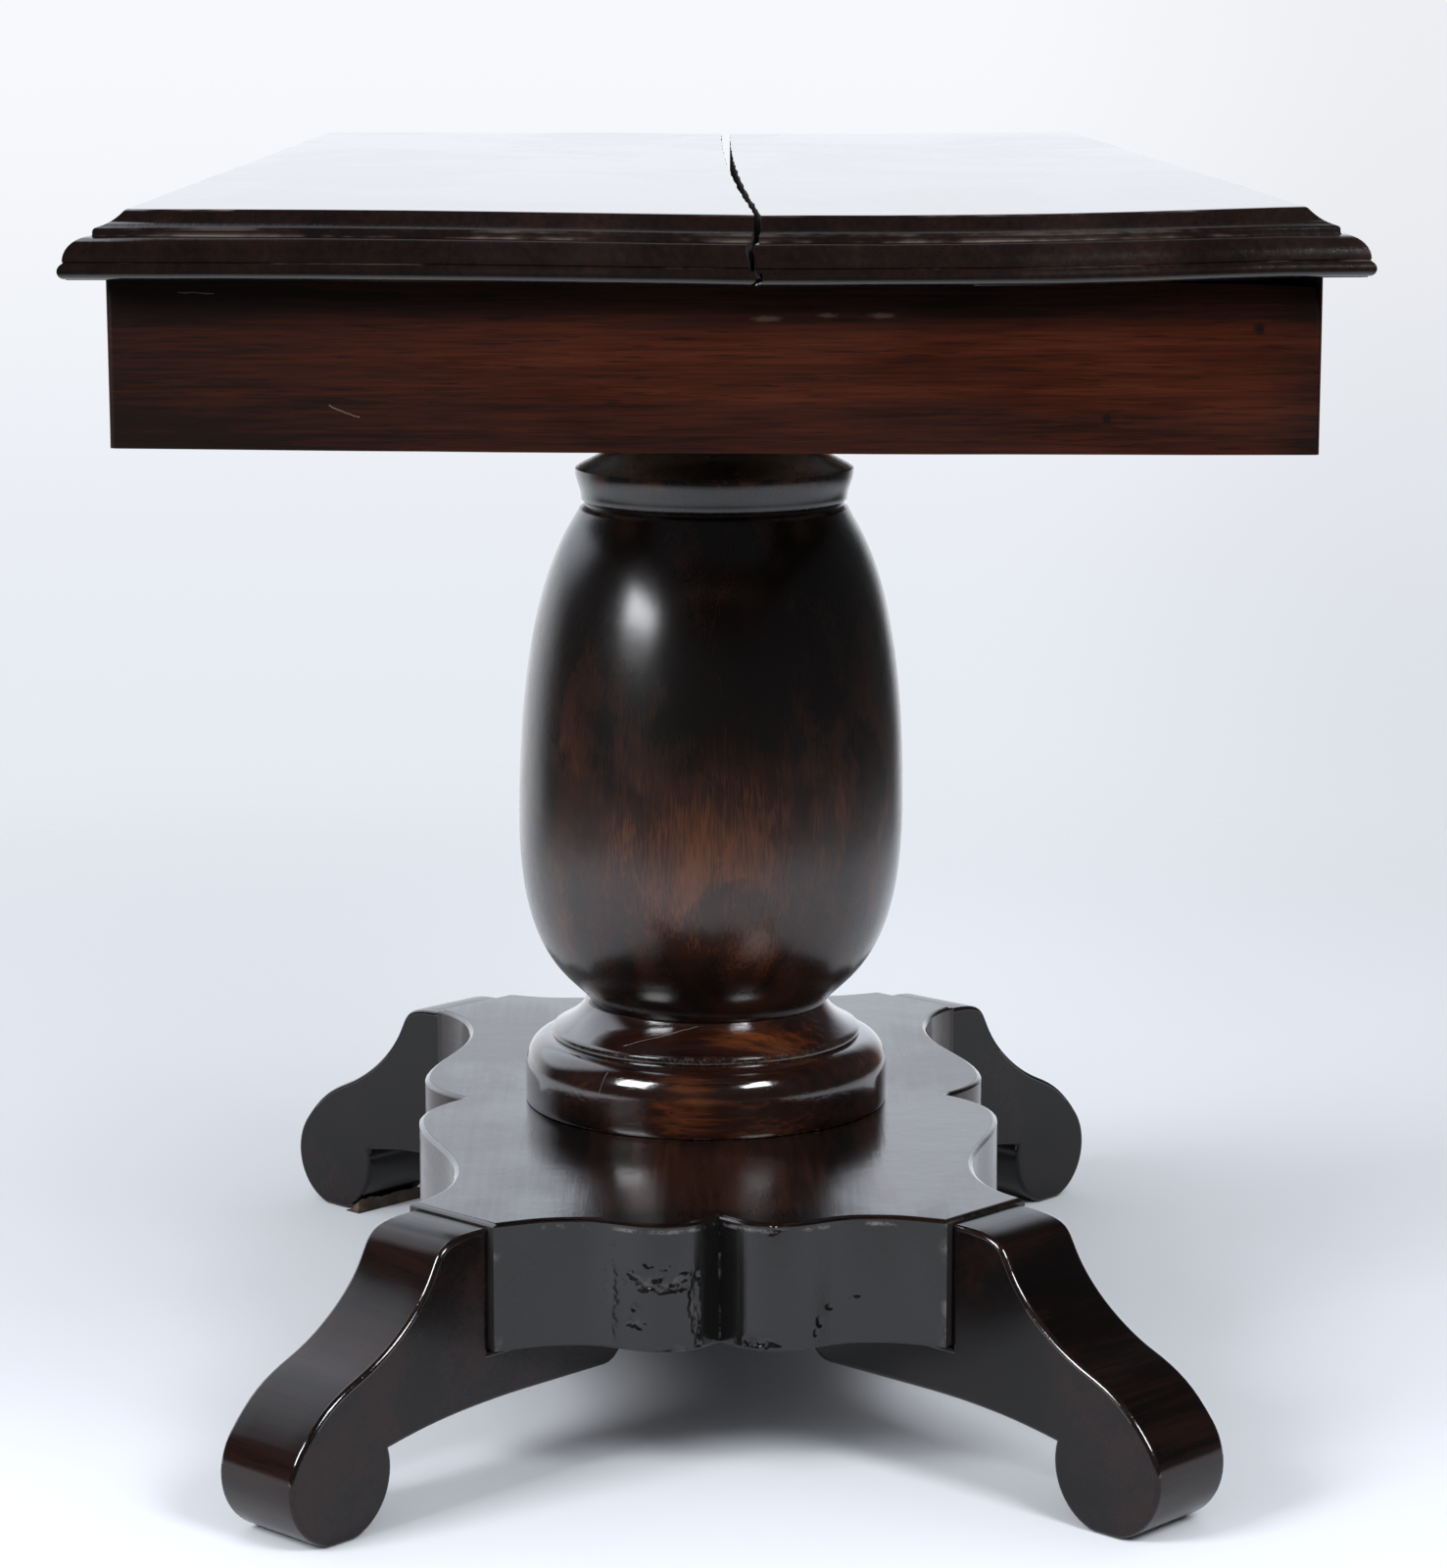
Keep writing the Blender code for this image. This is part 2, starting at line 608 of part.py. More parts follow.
def leg_outline():
    """Outline of a leg in its plane: hip, sweep, scroll, notch, arched underside and tongue."""
    tongue_top = PLATFORM_CLEAR - CLEARANCE
    under = PLATFORM_CLEAR - TONGUE_THICK
    crest = (CLEARANCE, PLATFORM_TOP - LEG_CREST_DROP)
    hip = (crest[0] + HIP_OUT, crest[1] - HIP_DROP)
    eye = (SCROLL_OUT, SCROLL_RADIUS - FOOT_FLAT_DEPTH)
    shin = (eye[0] - SWEEP_BACK, eye[1] + SWEEP_RISE)
    scroll = arc(eye, SCROLL_RADIUS, SCROLL_FIRST, SCROLL_LAST, SCROLL_STEPS)
    scroll = [Vector((out, max(rise, 0.0))) for out, rise in scroll]
    arch = Vector((scroll[-1].x - ARCH_LENGTH, under))
    nose = (TONGUE_NOSE - TONGUE_LENGTH, under)
    tip = Vector((-TONGUE_LENGTH, tongue_top))
    return (
        sweep(crest, hip, HIP_BEND)
        + sweep(hip, shin, SWEEP_BEND)
        + sweep(shin, scroll[0], SHIN_BEND, SHORT_STEPS)
        + scroll[:-1]
        + sweep(scroll[-1], arch, ARCH_BEND)
        + [arch]
        + sweep(nose, tip, NOSE_BEND, SHORT_STEPS)
        + [tip, Vector((CLEARANCE, tongue_top))]
    )


def dowel_bores():
    """Holes for a leg's two dowels, in the leg's frame."""
    along = Matrix.Rotation(math.pi / 2, 4, "Y")
    reach = DOWEL_HALF + CLEARANCE
    return [
        moved(rod("bore", DOWEL_RADIUS + CLEARANCE, -reach, reach),
              Matrix.Translation((0, 0, PLATFORM_CLEAR + rise)) @ along)
        for rise in DOWEL_RISES.values()
    ]


def leg_screw_spot():
    return (-LEG_SCREW_BACK, 0, PLATFORM_CLEAR - TONGUE_THICK + SCREW_SUNK)


def leg_cuts():
    """All the holes of one leg joint, in the leg's frame."""
    screw = moved(screw_bore(LEG_SCREW_BITE, TONGUE_THICK), Matrix.Translation(leg_screw_spot()))
    return dowel_bores() + [screw]


def legs(polish, raw, iron, parent):
    """Four scroll legs, each butted to a cut corner with two dowels and screwed through its tongue."""
    upright = Matrix.Rotation(math.pi / 2, 4, "X")
    blank = moved(prism("leg", leg_outline(), -LEG_THICK / 2, LEG_THICK / 2), upright)
    blank = eased(blank, lambda edge: abs(edge.verts[0].co.y - edge.verts[1].co.y) < LEG_ARRIS, LEG_ARRIS)
    leg = smooth(carved(blank, joined(leg_cuts(), "leg_cuts")))
    along = Matrix.Rotation(math.pi / 2, 4, "Y")
    dowel = rod("dowel", DOWEL_RADIUS, -DOWEL_HALF, DOWEL_HALF)
    dowel.transform(along)
    screw = turned("leg_screw", screw_outline(LEG_SCREW_BITE, TONGUE_THICK), SMALL_STEPS)
    for corner, (spot, turn) in leg_places().items():
        carrier = place("leg_" + corner, leg, polish, parent, spot, turn)
        for level, rise in DOWEL_RISES.items():
            place(f"dowel_{corner}_{level}", dowel, raw, carrier, (0, 0, PLATFORM_CLEAR + rise))
        place("leg_screw_" + corner, screw, iron, carrier, leg_screw_spot())
        if corner == "back_left":
            place("packing_back_left", packing(), raw, carrier)


def packing():
    """A strip of raw wood pushed under the inner curve of a foot."""
    eye_height = SCROLL_RADIUS - FOOT_FLAT_DEPTH
    fit = SCROLL_RADIUS + CLEARANCE
    curve = []
    for step in range(SHORT_STEPS + 1):
        back = PACKING_NEAR + (PACKING_FAR - PACKING_NEAR) * step / SHORT_STEPS
        curve.append(Vector((SCROLL_OUT - back, eye_height - math.sqrt(fit * fit - back * back))))
    outline = curve + [Vector((curve[-1].x, 0)), Vector((curve[0].x, 0))]
    half = LEG_THICK / 2 + PACKING_PROUD
    return moved(prism("packing_back_left", outline, -half, half), Matrix.Rotation(math.pi / 2, 4, "X"))


def platform(material, parent):
    """The brace-shaped platform, rounded along its top edge and bored for the spigot, dowels and screws."""
    mesh = prism("platform", mirrored_outline(platform_quarter()), PLATFORM_CLEAR, PLATFORM_TOP)
    middle = (PLATFORM_CLEAR + PLATFORM_TOP) / 2
    mesh = eased(mesh, lambda edge: min(end.co.z for end in edge.verts) > middle, PLATFORM_ROUND)
    cutters = [rod("bore", SPIGOT_RADIUS + CLEARANCE, 0, 2 * PLATFORM_TOP, TURNING_STEPS)]
    for spot, turn in leg_places().values():
        frame = Matrix.Translation(spot) @ Matrix.Rotation(turn, 4, "Z")
        cutters += [moved(cutter, frame) for cutter in leg_cuts()]
    place("platform", smooth(carved(mesh, joined(cutters, "platform_cuts"))), material, parent)


def main():
    clear_scene()
    polish = finish("dark_mahogany", (0.045, 0.017, 0.011), 0.22)
    raw = finish("raw_wood", (0.30, 0.19, 0.11), 0.75)
    iron = finish("iron", (0.16, 0.15, 0.14), 0.5, 1.0)
    table = axis("table_axis")
    base = axis("base_axis", BASE_TURN)
    base.parent = table
    for name, side in (("top_board_left", -1), ("top_board_right", 1)):
        place(name, carved(top_board(name, side), top_screw_bores()), polish, table)
    apron_rails(polish, table)
    cross_bearers(raw, table)
    frame_blocks(raw, table)
    screw = turned("top_screw", screw_outline(TOP_SCREW_BITE, BEARER_THICK), SMALL_STEPS)
    for name, spot in top_screws():
        place(name, screw, iron, table, spot)
    pedestal(polish, raw, base)
    platform(polish, base)
    legs(polish, raw, iron, base)


main()
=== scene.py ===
"""The finished look of a pedestal side table in old dark polish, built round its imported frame.

X runs across the table and Y along it, with the front end at -Y, in metres. Each piece that shows is
modelled again in finer shape in place of its plain solid. The blocks, bearers, dowels and screws
inside keep their solids and get raw wood and iron.
"""

import math

import bmesh
import bpy
from mathutils import Matrix, Vector, noise


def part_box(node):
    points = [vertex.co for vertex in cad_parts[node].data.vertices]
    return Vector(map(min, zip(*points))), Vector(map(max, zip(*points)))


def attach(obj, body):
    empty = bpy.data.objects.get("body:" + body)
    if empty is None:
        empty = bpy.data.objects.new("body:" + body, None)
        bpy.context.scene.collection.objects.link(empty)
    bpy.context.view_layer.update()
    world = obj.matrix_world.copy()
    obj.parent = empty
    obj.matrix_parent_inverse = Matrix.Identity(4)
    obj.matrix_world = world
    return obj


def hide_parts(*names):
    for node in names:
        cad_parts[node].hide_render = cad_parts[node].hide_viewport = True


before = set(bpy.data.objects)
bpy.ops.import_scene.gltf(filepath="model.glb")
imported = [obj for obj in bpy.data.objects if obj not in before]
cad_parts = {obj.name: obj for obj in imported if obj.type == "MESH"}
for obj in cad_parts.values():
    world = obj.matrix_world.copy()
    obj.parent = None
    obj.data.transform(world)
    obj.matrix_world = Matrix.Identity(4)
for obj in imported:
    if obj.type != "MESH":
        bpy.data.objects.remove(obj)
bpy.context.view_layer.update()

# Camera, as the photograph was taken
LENS = 102.49
CAMERA_PLACE = (-0.0204, -2.7751, 0.8505)
CAMERA_TILT = math.radians(80.068)
CAMERA_SWING = math.radians(-0.652)

# Small measures of the modelling itself
SEED = 0.002
MERGE = 0.00002
HAIR = 0.00003
SMOOTH_ANGLE = math.radians(38)

# Unevenness of the pieces: how far it goes, and how broad it is
MOULD_UNEVENNESS = (0.0009, 0.09)
RAIL_UNEVENNESS = (0.0010, 0.16)
VASE_UNEVENNESS = (0.0006, 0.07)
FOOT_UNEVENNESS = (0.0004, 0.05)
PLATFORM_UNEVENNESS = (0.0005, 0.10)
LEG_UNEVENNESS = (0.0006, 0.08)
PACKING_UNEVENNESS = (0.0040, 0.006)

# Top, from the frame, with its edge moulding from the flat outwards and downwards
BOARD_LOW, BOARD_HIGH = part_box("top_board_right")
TABLE_TOP = BOARD_HIGH.z
UNDERSIDE = BOARD_LOW.z
MOULD_WIDTH = 0.031
FLAT_X = BOARD_HIGH.x - MOULD_WIDTH
FLAT_Y = BOARD_HIGH.y - MOULD_WIDTH
COVE_WIDTH = 0.0152
COVE_DROP = 0.0084
FILLET_LOW = 0.0119
OVOLO_IN = 0.0166
OVOLO_TOP = 0.0122
OVOLO_WIDTH = 0.0121
OVOLO_DROP = 0.0112
QUIRK_IN = 0.0282
QUIRK_LEVEL = 0.0238
BEAD_RADIUS = 0.0039
BEAD_OUT = 0.0271
BEAD_LEVEL = TABLE_TOP - UNDERSIDE - BEAD_RADIUS - 0.0002
LEFT_SHORT = 0.0020
COVE_BEND = ((0.35, 0.60), (0.40, 0.20))
ARRIS_WEAR = 0.0008

# Split between the boards, and how far the top has sunk along it
SPLIT_OFFSET = 0.0158
SPLIT_BOW = 0.0044
SPLIT_FRONT_GAP = 0.0028
SPLIT_BACK_GAP = 0.0070
SPLIT_ROWS = 96
TOOTH = 0.0009
TOOTH_PITCH = 34.0
LEFT_SAG = ((0.0, 0.0028), (0.25, 0.0017), (0.50, 0.0006), (0.72, 0.0), (1.0, -0.0002))
RIGHT_SAG = ((0.0, 0.0030), (0.22, 0.0030), (0.50, 0.0025), (0.64, 0.0018), (0.80, 0.0004), (1.0, -0.0012))
BACK_SAG = 0.3
SAG_LIFT = 0.0013
SAG_DEPTH = 0.0045
SAG_CUTS = (0.12, 0.25, 0.4, 0.55, 0.7, 0.85, 0.95)
REST_MARGIN = 0.001
REST_CUT = 0.0004
KINK_DEPTH = 0.0050
KINK_LATE = 3.2
KINK_LEAN = 0.0015
KINK_REACH = 0.004
SPLIT_FACE_REACH = 0.012

# Apron frame, from the frame
FRONT_LOW, FRONT_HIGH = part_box("apron_front")
APRON_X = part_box("apron_right")[1].x
APRON_Y = abs(FRONT_LOW.y)
APRON_THICK = 0.022
APRON_ROUND = 0.003
RAIL_FACE_Y = -0.6415
RAIL_TILT = 0.0063
RAIL_BOW = 0.0004
BOW_AT_ENDS = 0.8
RAIL_LEVELS = 5
RAIL_CUT_PITCH = 0.03
RAIL_EASE = 0.0012
RAIL_HANGING = 0.004
FALL_START = 0.16
FALL_RUN = 0.08
FALL_DEPTH = 0.0030
CORNER_WIDE = 0.004
CORNER_TALL = 0.0045
CORNER_PUSH = (-0.0022, 0.0008, -0.0014)

# Turned vase, from its neck up
VASE_LOW, VASE_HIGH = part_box("pedestal_vase")
NECK_LEVEL = 0.2276
NECK_RADIUS = 0.0753
BELLY_RADIUS = VASE_HIGH.x
BELLY_LEVEL = 0.3494
SHOULDER_RADIUS = 0.0839
SHOULDER_LEVEL = 0.5406
QUIRK_RADIUS = 0.0809
COLLAR_LOW_RADIUS = 0.0831
COLLAR_LOW_LEVEL = 0.5456
COLLAR_RADIUS = 0.0870
COLLAR_LEVEL = 0.5659
SHANK_RADIUS = 0.0640
SHANK_LEVEL = 0.5839
SEAT_LEVEL = 0.6759
SPIGOT_RADIUS = 0.0300
SPIGOT_RECESS = 0.0010
VASE_OFFSET = 0.0019
VASE_LEAN = 0.0106
COLLAR_WEAR_DOWN = 0.003
COLLAR_WEAR_REACH = 0.009
LOWER_BELLY_BEND = ((0.20, 0.13), (0.0, 0.82))
UPPER_BELLY_BEND = ((0.0, 0.76), (0.19, 0.08))
COLLAR_BEND = ((0.0, 0.40), (0.0, 0.40))
SHANK_BEND = ((0.22, 0.20), (0.0, 0.50))

# Turned foot, from its top down
FOOT_LOW, FOOT_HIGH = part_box("pedestal_foot")
FOOT_TOP_RADIUS = 0.0765
CONE_RADIUS = 0.0975
CONE_LEVEL = 0.2095
FOOT_FILLET_LEVEL = 0.2050
FOOT_OVOLO_IN = 0.0993
FOOT_BAND_LEVEL = 0.1844
SPIGOT_PLAY = 0.0003
RIM_WEAR_AND_GLINT = 0.0008
FOOT_CONE_BEND = ((0.19, 0.40), (0.57, 0.35))
FOOT_OVOLO_BEND = ((0.62, 0.06), (0.0, 0.60))

# Platform: the brace outline of its long sides and its ends
PLATFORM_LOW, PLATFORM_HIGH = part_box("platform")
PLATFORM_X = 0.1795
PLATFORM_Y = 0.302
FACET_CUT = 0.0495
PLATFORM_ROUND = 0.0045
SIDE_CUSP = (0.155, 0.0)
SIDE_LOBE = (0.181, 0.055)
SIDE_HOLLOW = (0.1555, 0.183)
END_HOLLOW = (0.082, 0.2905)
END_LOBE = (0.033, 0.306)
END_CUSP = (0.0, 0.286)
SIDE_CUSP_BEND = ((0.52, 0.23), (0.0, 0.45))
SIDE_FLOW_BEND = ((0.0, 0.38), (0.0, 0.38))
SIDE_FLARE_BEND = ((0.0, 0.50), (0.50, 0.18))
END_FLARE_BEND = ((0.48, 0.75), (0.48, 0.0))
END_FLOW_BEND = ((0.38, 0.0), (0.38, 0.0))
END_CUSP_BEND = ((0.50, 0.0), (0.24, 0.46))
BASE_TURN = math.radians(1.15)
PLATFORM_LEVELS = 20
ROLL_STRIP = 0.0016
ROLL_EASE = 0.0018
ROLL_ARRIS_EASE = 0.0010
PLATFORM_LOW_EASE = 0.0012
FRONT_WALL_Y = -0.27
FRONT_WALL_HALF = 0.105
FRONT_WALL_CUTS = 3
CHIP_PUSH = 0.0009
CHIP_RAGGED = 0.75
CHIP_PITCH = 150
CHIP_STEEPNESS = 1.6

# Scroll legs in the plane of the saw: out from the cut corner, and up
LEG_HALF = 0.031
LEG_ROUND = 0.0030
LEG_LAYERS = 4
LEG_STILL = 0.0005
LEG_LOOSE = 0.004
CREST = (0.0003, 0.1595)
HIP = (0.0437, 0.1405)
SHIN = (0.1000, 0.0932)
EYE = (0.1142, 0.0366)
SCROLL_RADIUS = 0.0378
SCROLL_FIRST = 38
SCROLL_LAST = -196
ARCH_END = (-0.0271, 0.0566)
NOSE = (-0.0950, 0.0566)
TIP = (-0.1150, 0.0862)
HIP_BEND = ((0.85, 0.0), (0.17, 0.72))
SWEEP_BEND = ((0.20, 0.44), (0.38, 0.19))
SHIN_BEND = ((0.45, 0.25), (0.32, 0.54))
ARCH_BEND = ((0.305, 0.625), (0.43, 0.0))
NOSE_BEND = ((0.60, 0.0), (0.0, 0.50))
PACKING_NEAR = 0.016
PACKING_FAR = 0.029
PACKING_HALF = 0.034
PACKING_PLAY = 0.0003
PACKING_LAYERS = 36
PACKING_STILL = 0.0008
CRUSH_DEPTH = 0.010
CRUSH_PITCH = 130

# Fineness of the curves
TURNING_STEPS = 128
BELLY_STEPS = 30
CURVE_STEPS = 12
SCROLL_STEPS = 40

CORNERS = {
    "front_left": (-1, -1),
    "front_right": (1, -1),
    "back_left": (-1, 1),
    "back_right": (1, 1),
}


# Drawing of curves

def curve(start, end, bend, steps=CURVE_STEPS):
    """A smooth run from one point up to, but without, another."""
    start, end = Vector(start), Vector(end)
    run = end - start
    leave, arrive = (Vector((run.x * across, run.y * along)) for across, along in bend)
    near, far = start + leave, end - arrive
    points = []
    for step in range(steps):
        t = step / steps
        u = 1 - t
        points.append(u**3 * start + 3 * u * u * t * near + 3 * u * t * t * far + t**3 * end)
    return points


def arc(centre, radius, first, last, steps):
    """Points on a circle from one angle to another, in degrees, both ends included."""
    turns = [math.radians(first + (last - first) * step / steps) for step in range(steps + 1)]
    return [Vector((centre[0] + radius * math.cos(a), centre[1] + radius * math.sin(a))) for a in turns]


# Work on one piece at a time

def clear_bench():
    """Object mode with nothing selected, so that an operator meets only the piece in hand."""
    if bpy.context.mode != "OBJECT":
        bpy.ops.object.mode_set(mode="OBJECT")
    bpy.ops.object.select_all(action="DESELECT")


def take(piece):
    """Selects one piece alone."""
    clear_bench()
    piece.select_set(True)
    bpy.context.view_layer.objects.active = piece


def open_mesh(piece):
    take(piece)
    bpy.ops.object.mode_set(mode="EDIT")


def named(name):
    """The new primitive under its own name, with its place in its mesh."""
    piece = bpy.context.object
    piece.name = piece.data.name = name
    settle(piece)
    return piece


def settle(piece):
    """Works a piece's own place and turn into its mesh."""
    take(piece)
    bpy.ops.object.transform_apply(location=True, rotation=True, scale=True)


def pick(piece, test, kind="VERT"):
    """Selects, in edit mode, the points, edges or faces that pass the test."""
    bpy.ops.mesh.select_mode(type=kind)
    bpy.ops.mesh.select_all(action="DESELECT")
    shape = bmesh.from_edit_mesh(piece.data)
    rows = {"VERT": shape.verts, "EDGE": shape.edges, "FACE": shape.faces}[kind]
    found = 0
    for row in rows:
        if test(row):
            row.select_set(True)
            found += 1
    shape.select_flush_mode()
    bmesh.update_edit_mesh(piece.data)
    return found


def dress_faces(piece, slot, test):
    """Gives the faces that pass the test the finish in one of the piece's slots, in edit mode."""
    piece.active_material_index = slot
    pick(piece, test, "FACE")
    bpy.ops.object.material_slot_assign()


def pick_all():
    bpy.ops.mesh.select_all(action="SELECT")


def cut_across(spot, normal):
    """A cut right through the mesh that adds a row of points and parts nothing."""
    pick_all()
    bpy.ops.mesh.bisect(plane_co=spot, plane_no=normal, threshold=MERGE / 4)


def trace(name, points, closed=True):
    """A plane primitive pulled into one point, which is then drawn out from place to place."""
    clear_bench()
    bpy.ops.mesh.primitive_plane_add(size=SEED, location=points[0])
    piece = named(name)
    bpy.ops.object.mode_set(mode="EDIT")
    bpy.ops.mesh.select_mode(type="VERT")
    pick_all()
    bpy.ops.mesh.merge(type="CENTER")
    for here, there in zip(points, points[1:] + points[:1] if closed else points[1:]):
        bpy.ops.mesh.extrude_region_move(TRANSFORM_OT_translate={"value": there - here})
    if closed:
        pick_all()
        bpy.ops.mesh.remove_doubles(threshold=MERGE)
        bpy.ops.mesh.edge_face_add()
    return piece


def raise_up(rises):
    """Pulls the traced face up level by level."""
    for rise in rises:
        bpy.ops.mesh.extrude_region_move(TRANSFORM_OT_translate={"value": rise})
    face_outwards()


def face_outwards():
    pick_all()
    bpy.ops.mesh.normals_make_consistent(inside=False)


def soften(piece, test, width, segments=3):
    """Rounds the edges that pass the test."""
    if pick(piece, test, "EDGE"):
        bpy.ops.mesh.bevel(
            offset=width, offset_type="OFFSET", segments=segments, profile=0.5, affect="EDGES", clamp_overlap=True,
        )


def turn_on_lathe(name, outline):
    """An outline of radius and height, spun round the upright axis."""
    piece = trace(name, [Vector((radius, 0, level)) for radius, level in outline], closed=False)
    pick_all()
    bpy.ops.mesh.spin(steps=TURNING_STEPS, angle=2 * math.pi, center=(0, 0, 0), axis=(0, 0, 1))
    pick_all()
    bpy.ops.mesh.remove_doubles(threshold=MERGE)
    face_outwards()
    return piece


def unsettle(piece, unevenness, group=""):
    """The slight unevenness of old hand-planed wood."""
    strength, size = unevenness
    cloud = bpy.data.textures.new(piece.name + "_unevenness", "CLOUDS")
    cloud.noise_scale = size
    cloud.noise_depth = 2
    push(piece, group, strength, cloud=cloud)


def weigh(piece, name, weight):
    """A vertex group whose weight is worked out from each point's place."""
    group = piece.vertex_groups.new(name=name)
    for point in piece.data.vertices:
        share = weight(point.co)
        if share > 0:
            group.add([point.index], min(share, 1.0), "REPLACE")
    return name


def push(piece, group, amount, way="NORMAL", cloud=None):
    """Moves a piece's points by the weights of one group, evenly or by a cloud, as an applied displacement."""
    take(piece)
    bpy.ops.object.modifier_add(type="DISPLACE")
    modifier = piece.modifiers[-1]
    modifier.direction = way
    modifier.strength = amount
    modifier.mid_level = 0.5 if cloud else 0.0
    modifier.vertex_group = group
    if cloud:
        modifier.texture = cloud
        modifier.texture_coords = "LOCAL"
    bpy.ops.object.modifier_apply(modifier=modifier.name)


def mark_wear_and_glints(piece, wear_glint_share):
    """Stores the share of pale marking at each point, scuffs in some places and painted glints in others, worked out
    from its place, for the finish to read.
    """
    clear_bench()
    wear_and_glints = piece.data.attributes.new("wear_and_glints", "FLOAT", "POINT")
    for point in piece.data.vertices:
        wear_and_glints.data[point.index].value = wear_glint_share(point.co)


def finish_piece(piece, node, *finishes, flat_faces=True):
    """Smooth shading, flat faces kept flat, materials, and the node that the piece stands for."""
    take(piece)
    bpy.ops.object.shade_smooth_by_angle(angle=SMOOTH_ANGLE)
    if flat_faces:
        bpy.ops.object.modifier_add(type="WEIGHTED_NORMAL")
        modifier = piece.modifiers[-1]
        modifier.keep_sharp = True
        bpy.ops.object.modifier_apply(modifier=modifier.name)
    if not piece.data.materials:
        for finish in finishes:
            piece.data.materials.append(finish)
    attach(piece, "root")
    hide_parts(node)
    return piece


# Nodes of the finishes

def feed(tree, socket, value):
    """Links a socket, or sets it where the value is the same all over."""
    if isinstance(value, bpy.types.NodeSocket):
        tree.links.new(value, socket)
    else:
        socket.default_value = value


def fill(tree, node, inputs):
    """Links or sets a node's inputs by their names."""
    for name, value in inputs.items():
        feed(tree, node.inputs[name], value)
    return node


def add_node(tree, kind, inputs):
    return fill(tree, tree.nodes.new("ShaderNode" + kind), inputs)


def math_node(tree, task, first, second=0.0):
    node = tree.nodes.new("ShaderNodeMath")
    node.operation = task
    feed(tree, node.inputs[0], first)
    feed(tree, node.inputs[1], second)
    return node.outputs[0]


def plus(tree, first, second):
    return math_node(tree, "ADD", first, second)


def minus(tree, first, second):
    return math_node(tree, "SUBTRACT", first, second)


def product(tree, first, second):
    return math_node(tree, "MULTIPLY", first, second)


def vector_node(tree, task, first, second=(0, 0, 0)):
    node = tree.nodes.new("ShaderNodeVectorMath")
    node.operation = task
    feed(tree, node.inputs[0], first)
    feed(tree, node.inputs[1], second)
    return node.outputs["Value"]


def reach_along(tree, spot, way):
    """How far a place lies along one direction."""
    return vector_node(tree, "DOT_PRODUCT", spot, way)


def mapped(tree, vector, scale=(1, 1, 1), turn=(0, 0, 0), shift=(0, 0, 0)):
    inputs = {"Vector": vector, "Location": shift, "Rotation": turn, "Scale": scale}
    return add_node(tree, "Mapping", inputs).outputs["Vector"]


def clouds(tree, vector, scale=1.0, detail=3.0, rough=0.55, twist=0.0):
    inputs = {"Vector": vector, "Scale": scale, "Detail": detail, "Roughness": rough, "Distortion": twist}
    return add_node(tree, "TexNoise", inputs).outputs["Fac"]


def grained(tree, along, fineness, detail, rough=0.55, twist=0.0):
    """Clouds drawn out along the grain, with their fineness along it and across it."""
    lengthwise, across = fineness
    return clouds(tree, mapped(tree, along, (lengthwise, across, across)), 1.0, detail, rough, twist)


def spread(tree, value, low, high, to_low=0.0, to_high=1.0):
    """A value between two bounds, stretched to two others and kept inside them."""
    inputs = {"Value": value, "From Min": low, "From Max": high, "To Min": to_low, "To Max": to_high}
    node = add_node(tree, "MapRange", inputs)
    node.interpolation_type = "SMOOTHSTEP"
    return node.outputs["Result"]


def shades(tree, value, stops):
    """A run of colours along a value."""
    node = tree.nodes.new("ShaderNodeValToRGB")
    feed(tree, node.inputs["Fac"], value)
    ramp = node.color_ramp
    while len(ramp.elements) < len(stops):
        ramp.elements.new(1.0)
    for element, (place, colour) in zip(ramp.elements, stops):
        element.position = place
        element.color = (*colour, 1.0)
    return node.outputs["Color"]


def mixed(tree, share, first, second):
    node = tree.nodes.new("ShaderNodeMix")
    node.data_type = "RGBA"
    feed(tree, node.inputs["Factor"], share)
    feed(tree, node.inputs["A"], first if isinstance(first, bpy.types.NodeSocket) else (*first, 1.0))
    feed(tree, node.inputs["B"], second if isinstance(second, bpy.types.NodeSocket) else (*second, 1.0))
    return node.outputs["Result"]


def relief(tree, height, strength, distance, under=None):
    inputs = {"Strength": strength, "Distance": distance, "Height": height}
    if under is not None:
        inputs["Normal"] = under
    return add_node(tree, "Bump", inputs).outputs["Normal"]


def bench(name):
    """A new material with its surface and the object coordinates."""
    finish = bpy.data.materials.new(name)
    finish.use_nodes = True
    tree = finish.node_tree
    surface = tree.nodes["Principled BSDF"]
    spot = tree.nodes.new("ShaderNodeTexCoord").outputs["Object"]
    return finish, tree, surface, spot


def hairline(tree, spot, start, end, out, width):
    """A thin line on the surface from one place to another, seen along `out`."""
    start, end, out = Vector(start), Vector(end), Vector(out)
    along = end - start
    across = along.cross(out).normalized()
    lean = along / along.length_squared
    wobble = clouds(tree, spot, 140.0, 2.0)
    side = minus(tree, reach_along(tree, spot, across), across.dot(start))
    side = plus(tree, side, product(tree, minus(tree, wobble, 0.5), width * 6))
    run = minus(tree, reach_along(tree, spot, lean), lean.dot(start))
    near = spread(tree, math_node(tree, "ABSOLUTE", side), width * 0.5, width, 1.0, 0.0)
    inside = spread(tree, math_node(tree, "ABSOLUTE", minus(tree, run, 0.5)), 0.46, 0.5, 1.0, 0.0)
    facing = spread(tree, reach_along(tree, spot, out), out.dot(start) * 0.5, out.dot(start) * 0.6)
    return product(tree, product(tree, near, inside), facing)


def mark_mask(tree, spot, centre, size):
    """A soft-edged patch of the given half sizes round one place."""
    scale = tuple(1 / half for half in size)
    shift = tuple(-c / half for c, half in zip(centre, size))
    away = vector_node(tree, "LENGTH", mapped(tree, spot, scale, shift=shift))
    ragged = plus(tree, away, clouds(tree, mapped(tree, spot, scale), 2.5, 3.0))
    return spread(tree, ragged, 0.85, 1.5, 1.0, 0.0)


